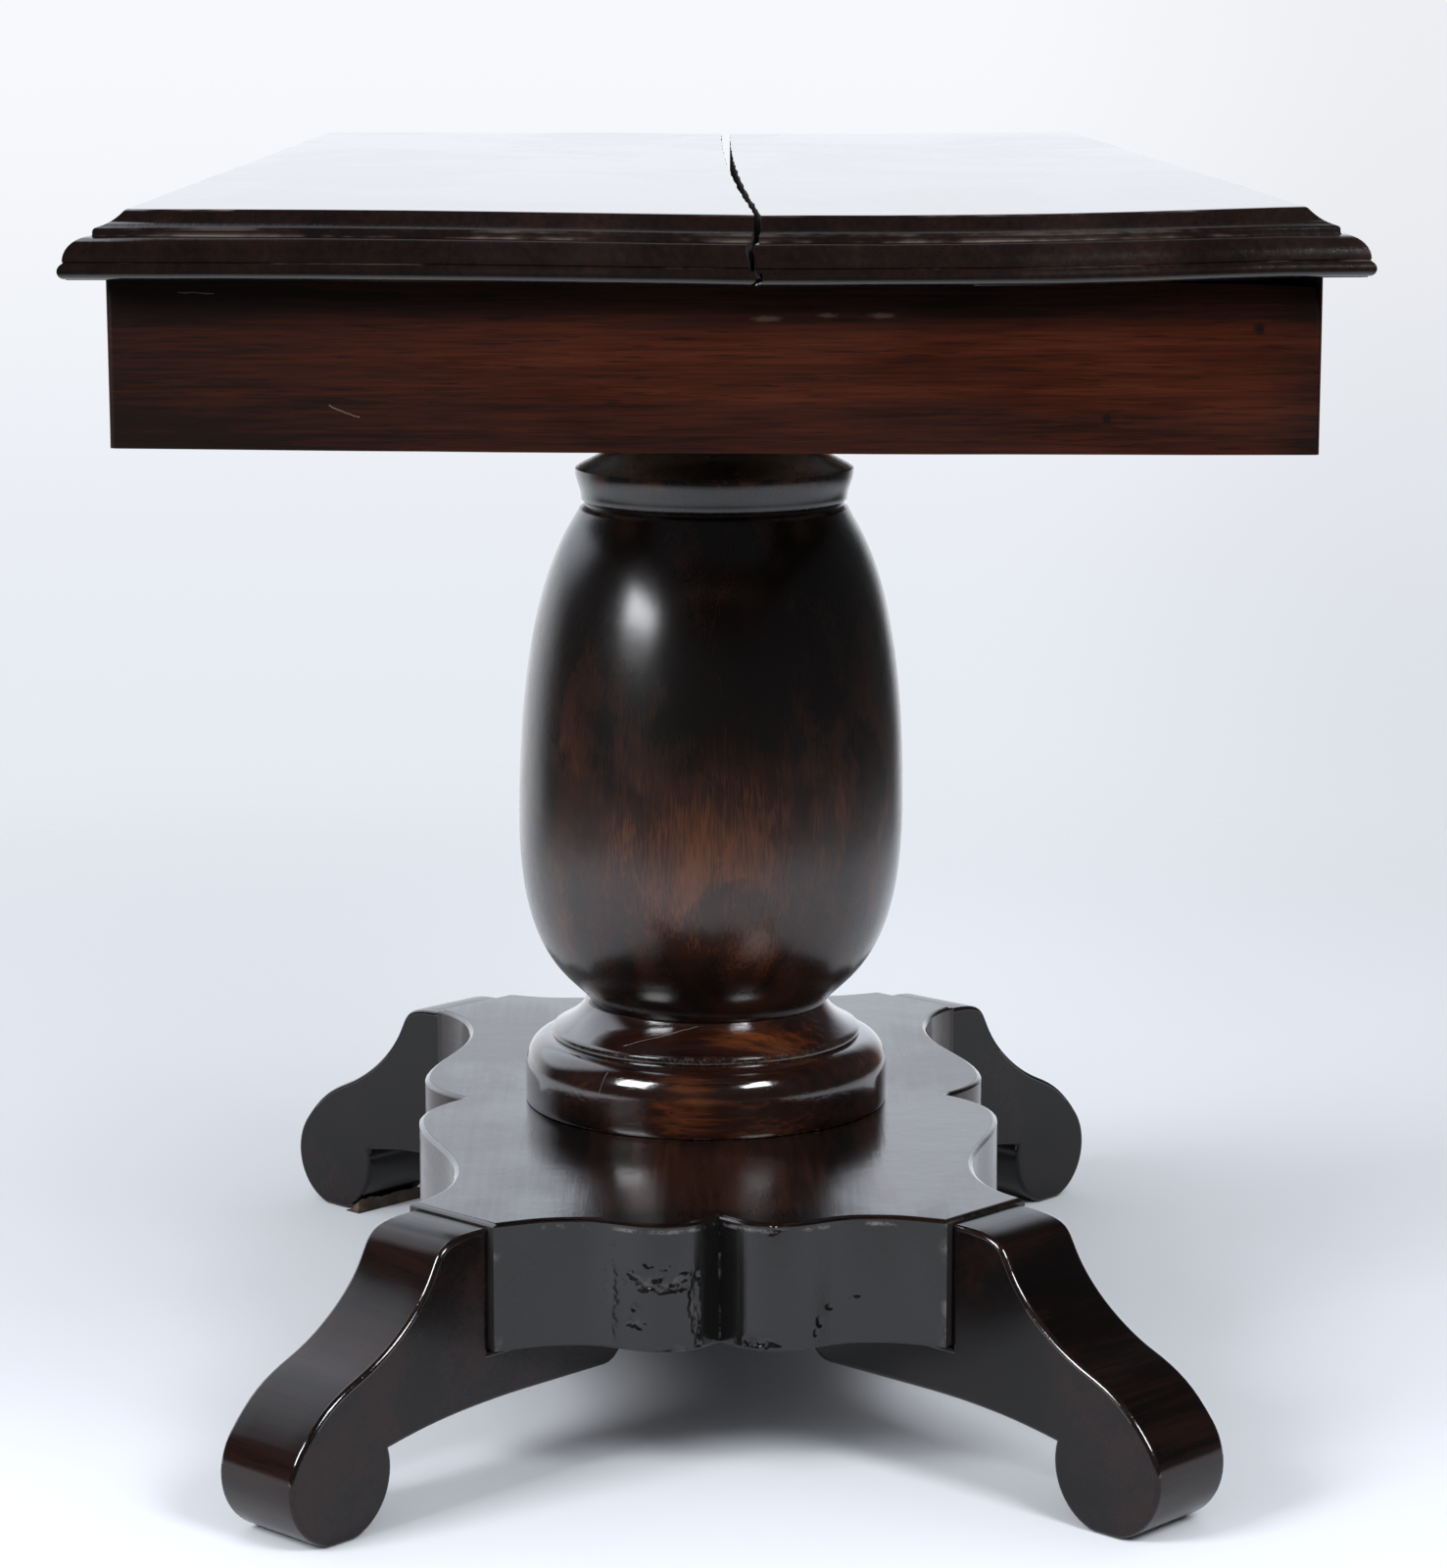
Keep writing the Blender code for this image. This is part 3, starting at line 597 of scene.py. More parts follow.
def polished(name, tones, grain=(0, 0, 0), gloss=(0.20, 0.34), figure=(1.7, 24.0), cloud=(4.2, 7.0),
             fibres=(11, 260), blend=(0.42, 0.38, 0.20), balance=(0.20, 0.80), coat=(0.25, 0.09), shine=0.5,
             ripple=0.35, rubbed=(), fades=(), marks=(), wear_and_glints=None, cracks=(), pits=0.0):
    """Old dark polish over mahogany: streaks along the grain, pores, darker and rubbed patches, fades (some of them
    painted shade), and pale marks that are partly scuffs and partly painted glints.

    `gloss` is the least and the greatest roughness, and `coat` the weight and roughness of the polish. `figure`,
    `cloud` and `fibres` are the fineness along and across the grain. `blend` is the share of streaks, patches and
    fibres in the tone, and `balance` the tones that come out darkest and reddest.
    """
    dark, brown, red = tones
    finish, tree, surface, spot = bench(name)
    along = mapped(tree, spot, turn=grain)
    streaks = spread(tree, grained(tree, along, figure, 5.0, 0.6, 0.4), 0.32, 0.68)
    fibre = spread(tree, grained(tree, along, fibres, 3.0, 0.6), 0.30, 0.70)
    patches = spread(tree, grained(tree, along, cloud, 3.0, 0.55, 0.6), 0.34, 0.66)
    pores = spread(tree, grained(tree, along, (46, 900), 1.0), 0.60, 0.72)
    tone = product(tree, streaks, blend[0])
    tone = plus(tree, tone, product(tree, patches, blend[1]))
    tone = plus(tree, tone, product(tree, fibre, blend[2]))
    for centre, radius, amount in rubbed:
        away = vector_node(tree, "DISTANCE", spot, centre)
        ragged = product(tree, patches, radius)
        reach = minus(tree, plus(tree, away, ragged), radius * 0.5)
        tone = plus(tree, tone, spread(tree, reach, radius * 0.25, radius, amount, 0.0))
    for way, first, last, amount in fades:
        place = reach_along(tree, spot, way)
        tone = plus(tree, tone, spread(tree, place, first, last, 0.0, amount))
    low, high = balance
    colour = shades(tree, tone, [(low, dark), ((low + high) / 2, brown), (high, red)])
    colour = mixed(tree, product(tree, pores, 0.55), colour, tuple(c * 0.35 for c in dark))
    rough = spread(tree, plus(tree, patches, product(tree, fibre, 0.25)), 0.2, 1.1, *gloss)
    height = minus(tree, fibre, product(tree, pores, 0.6))
    bump = relief(tree, clouds(tree, spot, 26.0, 2.0), ripple * 0.30, 0.0030)
    bump = relief(tree, clouds(tree, spot, 210.0, 2.0), ripple * 0.22, 0.0006, bump)
    bump = relief(tree, height, 0.10, 0.0004, bump)
    if pits:
        cells = tree.nodes.new("ShaderNodeTexVoronoi")
        tree.links.new(spot, cells.inputs["Vector"])
        cells.inputs["Scale"].default_value = pits
        dots = spread(tree, cells.outputs["Distance"], 0.025, 0.06, 1.0, 0.0)
        dots = product(tree, dots, spread(tree, clouds(tree, spot, 9.0, 1.0), 0.48, 0.56))
        colour = mixed(tree, dots, colour, (0.003, 0.0025, 0.002))
        rough = plus(tree, rough, product(tree, dots, 0.4))
    for centre, size, stain, strength in marks:
        mask = product(tree, mark_mask(tree, spot, centre, size), strength)
        colour = mixed(tree, mask, colour, stain)
    # Pale marks from the point attribute: scuffs, and painted glints on some pieces.
    if wear_and_glints:
        wear_glint_colour, fineness = wear_and_glints
        mark = tree.nodes.new("ShaderNodeAttribute")
        mark.attribute_name = "wear_and_glints"
        patchy = spread(tree, clouds(tree, mapped(tree, spot, fineness), 1.0, 4.0, 0.7), 0.48, 0.64)
        wear_glint_share = product(tree, mark.outputs["Fac"], patchy)
        colour = mixed(tree, wear_glint_share, colour, wear_glint_colour)
        rough = plus(tree, rough, product(tree, wear_glint_share, 0.25))
    for start, end, out, width, depth in cracks:
        line = hairline(tree, spot, start, end, out, width)
        colour = mixed(tree, product(tree, line, depth), colour, (0.20, 0.15, 0.12))
        bump = relief(tree, line, 0.5, -0.0006, bump)
    fill(tree, surface, {
        "Base Color": colour, "Roughness": rough, "Normal": bump, "IOR": 1.5, "Specular IOR Level": shine,
        "Coat Weight": coat[0], "Coat Roughness": coat[1],
    })
    return finish


def raw_wood(name, tones, grain=(0, 0, 0)):
    """Raw old wood, with broad and fine grain."""
    finish, tree, surface, spot = bench(name)
    along = mapped(tree, spot, turn=grain)
    streaks = grained(tree, along, (3, 40), 5.0, 0.65, 0.5)
    fibre = grained(tree, along, (16, 320), 3.0)
    tone = plus(tree, product(tree, streaks, 0.65), product(tree, fibre, 0.35))
    dark, middle, pale = tones
    colour = shades(tree, tone, [(0.32, dark), (0.5, middle), (0.68, pale)])
    fill(tree, surface, {
        "Base Color": colour, "Roughness": spread(tree, fibre, 0.3, 0.7, 0.62, 0.85),
        "Normal": relief(tree, tone, 0.35, 0.0008),
    })
    return finish


def old_iron(name):
    """Screw iron, dark with brown rust in patches."""
    finish, tree, surface, spot = bench(name)
    rust = spread(tree, clouds(tree, spot, 220.0, 4.0, 0.65), 0.45, 0.62)
    colour = mixed(tree, rust, (0.13, 0.125, 0.12), (0.10, 0.042, 0.018))
    fill(tree, surface, {
        "Base Color": colour, "Roughness": spread(tree, rust, 0.0, 1.0, 0.42, 0.85),
        "Metallic": spread(tree, rust, 0.0, 1.0, 0.95, 0.1), "Normal": relief(tree, rust, 0.3, 0.0003),
    })
    return finish


def on_front(x, z):
    """A place on the front rail's outer face."""
    return (x, RAIL_FACE_Y, z)


# Finishes, with the grain along each piece

GRAIN_X = (0, 0, 0)
GRAIN_Y = (0, 0, math.radians(-90))
GRAIN_Z = (0, math.radians(90), 0)
GRAIN_LEFT = (0, 0, math.radians(45))
GRAIN_RIGHT = (0, 0, math.radians(-45))

top_polish = polished(
    "top_polish", ((0.0040, 0.0018, 0.0014), (0.011, 0.0040, 0.0028), (0.026, 0.0080, 0.0045)), GRAIN_Y,
    gloss=(0.06, 0.09), ripple=0.02,
)
mould_polish = polished(
    "mould_polish", ((0.0040, 0.0024, 0.0022), (0.009, 0.0042, 0.0034), (0.020, 0.0075, 0.0052)), GRAIN_Y,
    gloss=(0.12, 0.24), blend=(0.36, 0.16, 0.24), balance=(0.05, 0.90), coat=(0.42, 0.08), ripple=0.12,
    # pale moulding marks: scuffs and dust, with painted highlight lines on the fillet and the top of the ovolo
    wear_and_glints=((0.14, 0.105, 0.090), (12, 12, 50)),
)
split_wood = raw_wood("split_wood", ((0.006, 0.004, 0.003), (0.016, 0.010, 0.007), (0.05, 0.035, 0.024)), GRAIN_Y)
apron_tones = ((0.0076, 0.0020, 0.0010), (0.034, 0.0060, 0.0016), (0.072, 0.0130, 0.0032))
apron_polish = dict(
    gloss=(0.36, 0.48), figure=(3.0, 110.0), cloud=(2.4, 10.0), fibres=(24, 640), blend=(0.17, 0.28, 0.24),
    balance=(0.0, 0.74), coat=(0.0, 0.1), shine=0.20, ripple=0.10,
)
knot, bare_mark = (0.004, 0.002, 0.0015), (0.16, 0.10, 0.075)
end_apron_polish = polished(
    "end_apron_polish", apron_tones, GRAIN_X, **apron_polish,
    # The patches here darken the left end and the lower right end. The first fade darkens the top of the rail, a
    # painted shadow under the moulding; the others darken it towards the bottom, the left end and the right end, and
    # lighten it right of the middle.
    rubbed=[(on_front(-0.32, 0.665), 0.16, -0.24), (on_front(0.30, 0.650), 0.05, -0.22)],
    fades=[
        ((0, 0, 1), 0.695, 0.706, -0.26), ((0, 0, -1), -0.678, -0.640, -0.26), ((-1, 0, 0), 0.02, 0.30, -0.30),
        ((1, 0, 0), 0.08, 0.20, 0.13), ((1, 0, 0), 0.255, 0.285, -0.10),
    ],
    marks=[
        (on_front(0.2596, 0.6972), (0.0040, 0.01, 0.0036), knot, 0.9),
        (on_front(0.1876, 0.6542), (0.0036, 0.01, 0.0030), knot, 0.9),
        (on_front(0.0247, 0.7021), (0.0090, 0.01, 0.0020), bare_mark, 0.35),
        (on_front(0.0536, 0.7035), (0.0060, 0.01, 0.0016), bare_mark, 0.35),
        (on_front(0.0793, 0.7034), (0.0080, 0.01, 0.0018), bare_mark, 0.35),
    ],
    cracks=[
        (on_front(-0.1850, 0.6610), on_front(-0.1700, 0.6550), (0, -1, 0), 0.0004, 0.4),
        (on_front(-0.2560, 0.7150), on_front(-0.2380, 0.7138), (0, -1, 0), 0.0004, 0.4),
    ],
)
side_apron_polish = polished("side_apron_polish", apron_tones, GRAIN_Y, **apron_polish)
vase_polish = polished(
    "vase_polish", ((0.0064, 0.0034, 0.0028), (0.030, 0.0100, 0.0050), (0.112, 0.036, 0.0140)), GRAIN_Z,
    gloss=(0.22, 0.32), figure=(9.0, 44.0), cloud=(15.0, 22.0), fibres=(60, 900), blend=(0.20, 0.52, 0.22),
    balance=(0.30, 0.98), coat=(1.0, 0.22), shine=0.11, ripple=0.9, wear_and_glints=((0.085, 0.028, 0.014), (30, 30, 30)),
    rubbed=[
        ((0.0060, -0.1200, 0.330), 0.068, 0.30), ((0.0000, -0.1200, 0.340), 0.150, 0.11),
        ((-0.0700, -0.0980, 0.350), 0.036, 0.16), ((0.0300, -0.1170, 0.405), 0.036, 0.16),
        ((-0.0450, -0.0740, 0.556), 0.030, 0.40), ((0.0250, -0.1050, 0.268), 0.024, 0.28),
    ],
    # The first fade darkens the upper half, painted shade; the second darkens the vase towards the neck.
    fades=[((0, 0, 1), 0.350, 0.450, -0.34), ((0, 0, -1), -0.310, -0.235, -0.22)],
)
foot_polish = polished(
    "foot_polish", ((0.0040, 0.0016, 0.0012), (0.018, 0.0052, 0.0028), (0.120, 0.0320, 0.0090)), GRAIN_X,
    gloss=(0.10, 0.16), balance=(0.18, 0.92), coat=(1.0, 0.11), shine=0.50, ripple=0.5,
    rubbed=[((0.030, -0.082, 0.216), 0.040, 0.26), ((-0.013, -0.114, 0.192), 0.030, 0.22)],
    fades=[((0, 0, -1), -0.186, -0.180, -0.14)],
    # pale rims: painted glints along the fillet lines, partly scuffing of the polish
    wear_and_glints=((0.075, 0.064, 0.058), (420, 420, 420)),
    cracks=[
        ((-0.0526, -0.0750, 0.2126), (-0.0049, -0.0771, 0.2260), (-0.35, -0.94, 0.0), 0.00028, 0.5),
        ((-0.0611, -0.0909, 0.2002), (-0.0670, -0.0930, 0.1860), (-0.58, -0.81, 0.0), 0.00032, 0.5),
    ],
)
# Pale colour of the platform's marks: raw wood in the knocks and at the corners, and a painted highlight along the
# line under the roll.
platform_wear_glint_colour = ((0.34, 0.31, 0.29), (60, 60, 60))
platform_polish = polished(
    "platform_polish", ((0.0026, 0.0018, 0.0017), (0.0120, 0.0050, 0.0034), (0.030, 0.0100, 0.0060)), GRAIN_Y,
    gloss=(0.15, 0.30), pits=42.0, ripple=0.45, coat=(0.54, 0.18), shine=0.28,
    fades=[((0, -1, 0), 0.27, 0.285, -0.55)], wear_and_glints=platform_wear_glint_colour,
)
arris_polish = polished(
    "arris_polish", ((0.0026, 0.0018, 0.0017), (0.0060, 0.0030, 0.0022), (0.012, 0.0050, 0.0036)), GRAIN_Y,
    gloss=(0.10, 0.16), coat=(1.0, 0.06), shine=0.5, ripple=0.8, wear_and_glints=platform_wear_glint_colour,
)
# Rough finish for the facet strips by the legs, in a lighter grey painted on for the grey they show in the light
# instead of black.
facet_painted_grey = polished(
    "facet_painted_grey", ((0.012, 0.010, 0.0095), (0.018, 0.015, 0.014), (0.026, 0.021, 0.019)), GRAIN_Z,
    gloss=(0.4, 0.5), coat=(0.0, 0.1),
)
leg_tones = ((0.0018, 0.0011, 0.0010), (0.0036, 0.0018, 0.0015), (0.012, 0.0042, 0.0029))
leg_polish = dict(gloss=(0.22, 0.30), coat=(0.58, 0.14), shine=0.05, ripple=0.3)
leg_polish_left = polished("leg_polish_left", leg_tones, GRAIN_LEFT, **leg_polish)
leg_polish_right = polished("leg_polish_right", leg_tones, GRAIN_RIGHT, **leg_polish)
bare_tones = ((0.10, 0.058, 0.032), (0.21, 0.13, 0.075), (0.34, 0.23, 0.14))
bare_across = raw_wood("bare_across", bare_tones, GRAIN_X)
bare_along = raw_wood("bare_along", bare_tones, GRAIN_Y)
bare_upright = raw_wood("bare_upright", bare_tones, GRAIN_Z)
packing_tones = ((0.010, 0.0066, 0.0044), (0.05, 0.032, 0.020), (0.16, 0.11, 0.072))
packing_wood = raw_wood("packing_wood", packing_tones, GRAIN_X)
iron = old_iron("old_iron")


# Top

def mould_steps():
    """The edge of the top from the flat down, as (out, down, pale mark): scuffs on the arris and dust at the quirk,
    and on the fillet and the top of the ovolo scuffs together with a painted highlight line.
    """
    arris = [(0.0, 0.0, 0.0), (0.0009, 0.0001, 0.2), (0.0017, 0.0005, 0.3)]
    cove = [(*point, 0.0) for point in curve((0.0023, 0.0011), (COVE_WIDTH - 0.0006, COVE_DROP), COVE_BEND, 9)]
    fillet = [
        (COVE_WIDTH - 0.0006, COVE_DROP, 0.3),
        (COVE_WIDTH + 0.0001, COVE_DROP + 0.0006, 0.3),
        (COVE_WIDTH + 0.0004, COVE_DROP + 0.0015, 0.0),
        (COVE_WIDTH + 0.0004, FILLET_LOW - 0.0007, 0.3),
        (COVE_WIDTH + 0.0006, FILLET_LOW, 0.8),
    ]
    ovolo = [
        (OVOLO_IN + OVOLO_WIDTH * across, OVOLO_TOP + OVOLO_DROP * (1 + along), 0.0)
        for across, along in arc((0, 0), 1, -90, 0, 9)
    ]
    ovolo[0] = (*ovolo[0][:2], 0.6)
    quirk = [(QUIRK_IN, QUIRK_LEVEL, 0.7)]
    bead = [
        (out, down, 0.0) for out, down in arc((BEAD_OUT, BEAD_LEVEL), BEAD_RADIUS, -62, 90, 9)
    ]
    return arris + cove + fillet + ovolo + quirk + bead + [(BEAD_OUT, TABLE_TOP - UNDERSIDE, 0.0)]


def split_place(side, y):
    """Where one edge of the split lies: -1 for the left board's edge, 1 for the right one's."""
    reach = FLAT_Y + 2 * MOULD_WIDTH
    along = (y + reach) / (2 * reach)
    bow = SPLIT_BOW * (y / FLAT_Y) ** 2
    tooth = TOOTH * noise.noise((TOOTH_PITCH * y, 3.7, 1.3))
    tooth += 0.5 * TOOTH * noise.noise((3 * TOOTH_PITCH * y, side, 8.1))
    gap = SPLIT_FRONT_GAP + (SPLIT_BACK_GAP - SPLIT_FRONT_GAP) * along
    return SPLIT_OFFSET + bow + tooth + side * gap / 2


def sag(side, co):
    """How far a board has sunk: most by the split and at the front, and not where it rests on the frame."""
    if co.z < UNDERSIDE + HAIR and abs(co.y) < APRON_Y + REST_MARGIN:
        return 0.0
    share = (co.x - SPLIT_OFFSET) / (side * FLAT_X - SPLIT_OFFSET)
    knots = RIGHT_SAG if side > 0 else LEFT_SAG
    drop = knots[0][1] if share < 0 else knots[-1][1]
    for (first, upper), (last, lower) in zip(knots, knots[1:]):
        if first <= share < last:
            drop = upper + (lower - upper) * (share - first) / (last - first)
    along = (co.y + FLAT_Y + MOULD_WIDTH) / (2 * (FLAT_Y + MOULD_WIDTH))
    return drop * (1 + (BACK_SAG - 1) * along) + SAG_LIFT


def top_board(name, node, side):
    """One board of the top: a blank cut to the split, moulded round its three edges, and sunk at the split."""
    near = SPLIT_OFFSET
    flat_x = FLAT_X if side > 0 else FLAT_X - LEFT_SHORT
    clear_bench()
    bpy.ops.mesh.primitive_cube_add(
        size=1, location=((near + side * flat_x) / 2, 0, (TABLE_TOP + UNDERSIDE) / 2),
        scale=(abs(side * flat_x - near), 2 * FLAT_Y, TABLE_TOP - UNDERSIDE),
    )
    board = named(name)
    bpy.ops.object.mode_set(mode="EDIT")
    rows = [FLAT_Y * (2 * row / SPLIT_ROWS - 1) for row in range(SPLIT_ROWS + 1)]
    for y in rows[1:-1]:
        cut_across((0, y, 0), (0, 1, 0))
    for y in rows:
        pick(board, lambda point: abs(point.co.y - y) < HAIR and abs(point.co.x - near) < HAIR)
        bpy.ops.transform.translate(value=(split_place(side, y) - near, 0, 0))
    steps = mould_steps()
    for out, down, _ in steps[1:-1]:
        cut_across((0, 0, TABLE_TOP - down), (0, 0, 1))
    for out, down, _ in steps[1:]:
        level = TABLE_TOP - down
        pick(board, lambda point: abs(point.co.z - level) < HAIR
             and (abs(point.co.y) > FLAT_Y - HAIR or side * point.co.x > flat_x - HAIR))
        grow = ((flat_x + out) / flat_x, (FLAT_Y + out) / FLAT_Y, 1)
        bpy.ops.transform.resize(value=grow, center_override=(0, 0, level))

    # Share of pale marking: full on the arris, which is scuffed, and elsewhere on the moulding the step's own share,
    # painted highlight lines among it.
    def wear_and_glints(co):
        if TABLE_TOP - ARRIS_WEAR < co.z < TABLE_TOP - HAIR and abs(co.x) > flat_x:
            return 1.0
        if abs(co.y) > FLAT_Y - HAIR or side * co.x > flat_x - HAIR:
            return min(steps, key=lambda step: abs(step[1] - TABLE_TOP + co.z))[2]
        return 0.0

    def sunk(co):
        lifted = SAG_LIFT if co.z > UNDERSIDE + HAIR else 0
        return sag(side, co - Vector((0, 0, lifted))) / SAG_DEPTH

    mark_wear_and_glints(board, wear_and_glints)
    open_mesh(board)
    for end in (-1, 1):
        cut_across((0, end * (APRON_Y + REST_CUT), 0), (0, 1, 0))
    kink_split(board, side)
    for share in SAG_CUTS:
        cut_across((near + (side * flat_x - near) * share, 0, 0), (1, 0, 0))
    for finish in (top_polish, mould_polish, split_wood):
        board.data.materials.append(finish)
    dress_faces(board, 1, lambda face: face.normal.z < 0.99 or face.calc_center_median().z < UNDERSIDE + HAIR)
    dress_faces(board, 2, lambda face: abs(face.normal.x) > 0.8
                and abs(face.calc_center_median().x - near) < SPLIT_FACE_REACH)
    clear_bench()
    edge = weigh(board, "moulding", lambda co: 1.0 if co.z > UNDERSIDE + HAIR and (
        abs(co.y) > FLAT_Y + HAIR or abs(co.x) > flat_x + HAIR) else 0.0)
    unsettle(board, MOULD_UNEVENNESS, edge)
    open_mesh(board)
    pick(board, lambda point: sag(side, point.co) > 0)
    bpy.ops.transform.translate(value=(0, 0, SAG_LIFT))
    clear_bench()
    push(board, weigh(board, "sag", sunk), -SAG_DEPTH, "Z")
    return finish_piece(board, node)


def kink_split(board, side):
    """Kinks the split across the front moulding."""
    shape = bmesh.from_edit_mesh(board.data)
    rows = []
    for y in sorted(point.co.y for point in shape.verts if point.co.y < -FLAT_Y - HAIR):
        if not rows or y - rows[-1] > HAIR:
            rows.append(y)
    for y in rows:
        pick(board, lambda point: -MERGE / 4 < point.co.y - y <= HAIR
             and abs(point.co.x - split_place(side, y)) < KINK_REACH)
        bpy.ops.transform.translate(value=(kink(y), 0, 0))


def kink(y):
    """How far the split leans to the left on the front moulding, most at the quirk over the bead."""
    out = min(max(-FLAT_Y - y, 0.0) / MOULD_WIDTH, 1.0)
    return -KINK_DEPTH * math.sin(math.pi * out ** KINK_LATE) - KINK_LEAN * out


# Apron

def apron_outline(half_length, reach):
    """A mitred rail in plan, along X, with its outer face at -Y and its corners eased."""
    right = arc((half_length - APRON_ROUND, APRON_ROUND - reach), APRON_ROUND, -90, -45, 4)
    half = right + [Vector((half_length - APRON_THICK, APRON_THICK - reach))]
    return half + [Vector((-x, y)) for x, y in reversed(half)]


def apron(name, node, half_length, reach, turn, finish, hang=None):
    """One rail, eased along its lower edge, hung a little out of level and slightly uneven."""
    low, high = FRONT_LOW.z, FRONT_HIGH.z
    outline = [Vector((x, y, low)) for x, y in apron_outline(half_length, reach)]
    rail = trace(name, outline)
    raise_up([Vector((0, 0, (high - low) / RAIL_LEVELS))] * RAIL_LEVELS)
    count = round(2 * half_length / RAIL_CUT_PITCH)
    for step in range(1, count):
        cut_across((half_length * (2 * step / count - 1), 0, 0), (1, 0, 0))
    soften(rail, lambda edge: all(end.co.z < low + HAIR and end.co.y < HAIR - reach for end in edge.verts), RAIL_EASE)
    if hang:
        shape = bmesh.from_edit_mesh(rail.data)
        for x in sorted({round(point.co.x, 4) for point in shape.verts}):
            pick(rail, lambda point: round(point.co.x, 4) == x and point.co.z < low + RAIL_HANGING)
            bpy.ops.transform.translate(value=(0, 0, hang(x)))
    if node == "apron_front":
        wear_front_apron(rail)
    clear_bench()
    rail.rotation_euler.z = turn
    settle(rail)
    unsettle(rail, RAIL_UNEVENNESS)
    return finish_piece(rail, node, finish)


def wear_front_apron(rail):
    """Lets the upper edge fall away at the right end, where light shows under the top, and chips that corner."""
    high = FRONT_HIGH.z
    shape = bmesh.from_edit_mesh(rail.data)
    for x in sorted({round(point.co.x, 4) for point in shape.verts if point.co.x > FALL_START}):
        pick(rail, lambda point: round(point.co.x, 4) == x and point.co.z > high - HAIR)
        bpy.ops.transform.translate(value=(0, 0, -FALL_DEPTH * min((x - FALL_START) / FALL_RUN, 1.0)))
    pick(rail, lambda point: point.co.x > FRONT_HIGH.x - CORNER_WIDE and point.co.z > high - CORNER_TALL)
    bpy.ops.transform.translate(value=CORNER_PUSH)


def front_hang(x):
    """How far the front rail's lower edge lies out of level: it tilts, and bows down in the middle."""
    return -RAIL_TILT * x - RAIL_BOW * (1 - (1 + BOW_AT_ENDS) * (x / APRON_X) ** 2)


def side_hang(side, x):
    """The same for a long rail, which meets the front rail's end and runs out level at the back."""
    return (RAIL_TILT * APRON_X - side * BOW_AT_ENDS * RAIL_BOW) * (x / APRON_Y - side) / 2


# Pedestal

def vase():
    """The vase from its lower spigot to the upper one, short of the wedges' ends."""
    low, high = VASE_LOW.z + SPIGOT_RECESS, VASE_HIGH.z - SPIGOT_RECESS
    neck, widest = (NECK_RADIUS, NECK_LEVEL), (BELLY_RADIUS, BELLY_LEVEL)
    shoulder = (SHOULDER_RADIUS, SHOULDER_LEVEL)
    collar_foot, collar_rim = (COLLAR_LOW_RADIUS, COLLAR_LOW_LEVEL + 0.0006), (COLLAR_RADIUS, COLLAR_LEVEL - 0.0014)
    shank = (SHANK_RADIUS, SHANK_LEVEL)
    groove = (SHOULDER_LEVEL + COLLAR_LOW_LEVEL) / 2
    outline = (
        [(0, low), (SPIGOT_RADIUS, low), (SPIGOT_RADIUS, NECK_LEVEL)]
        + curve(neck, widest, LOWER_BELLY_BEND, BELLY_STEPS)
        + curve(widest, shoulder, UPPER_BELLY_BEND, BELLY_STEPS)
        + [shoulder, (QUIRK_RADIUS, groove - 0.0004), (QUIRK_RADIUS, groove + 0.0004)]
        + [(COLLAR_LOW_RADIUS - 0.0006, COLLAR_LOW_LEVEL - 0.0001)]
        + curve(collar_foot, collar_rim, COLLAR_BEND, 8)
        + [collar_rim, (COLLAR_RADIUS - 0.0002, COLLAR_LEVEL - 0.0006)]
        + curve((COLLAR_RADIUS - 0.0010, COLLAR_LEVEL), shank, SHANK_BEND, 8)
        + [shank, (SHANK_RADIUS, SEAT_LEVEL)]
        + [(SPIGOT_RADIUS, SEAT_LEVEL), (SPIGOT_RADIUS, high), (0, high)]
    )
    piece = turn_on_lathe("vase", outline)
    for level in sorted({round(height, 5) for radius, height in outline if radius > SPIGOT_RADIUS}):
        pick(piece, lambda point: abs(point.co.z - level) < HAIR and point.co.xy.length > SPIGOT_RADIUS + HAIR)
        bpy.ops.transform.translate(value=(VASE_OFFSET + VASE_LEAN * (level - NECK_LEVEL), 0, 0))
    unsettle(piece, VASE_UNEVENNESS)
    mark_wear_and_glints(piece, lambda co: max(0.0, 1.0 - abs(co.z - COLLAR_LEVEL + COLLAR_WEAR_DOWN) / COLLAR_WEAR_REACH))
    return finish_piece(piece, "pedestal_vase", vase_polish, flat_faces=False)


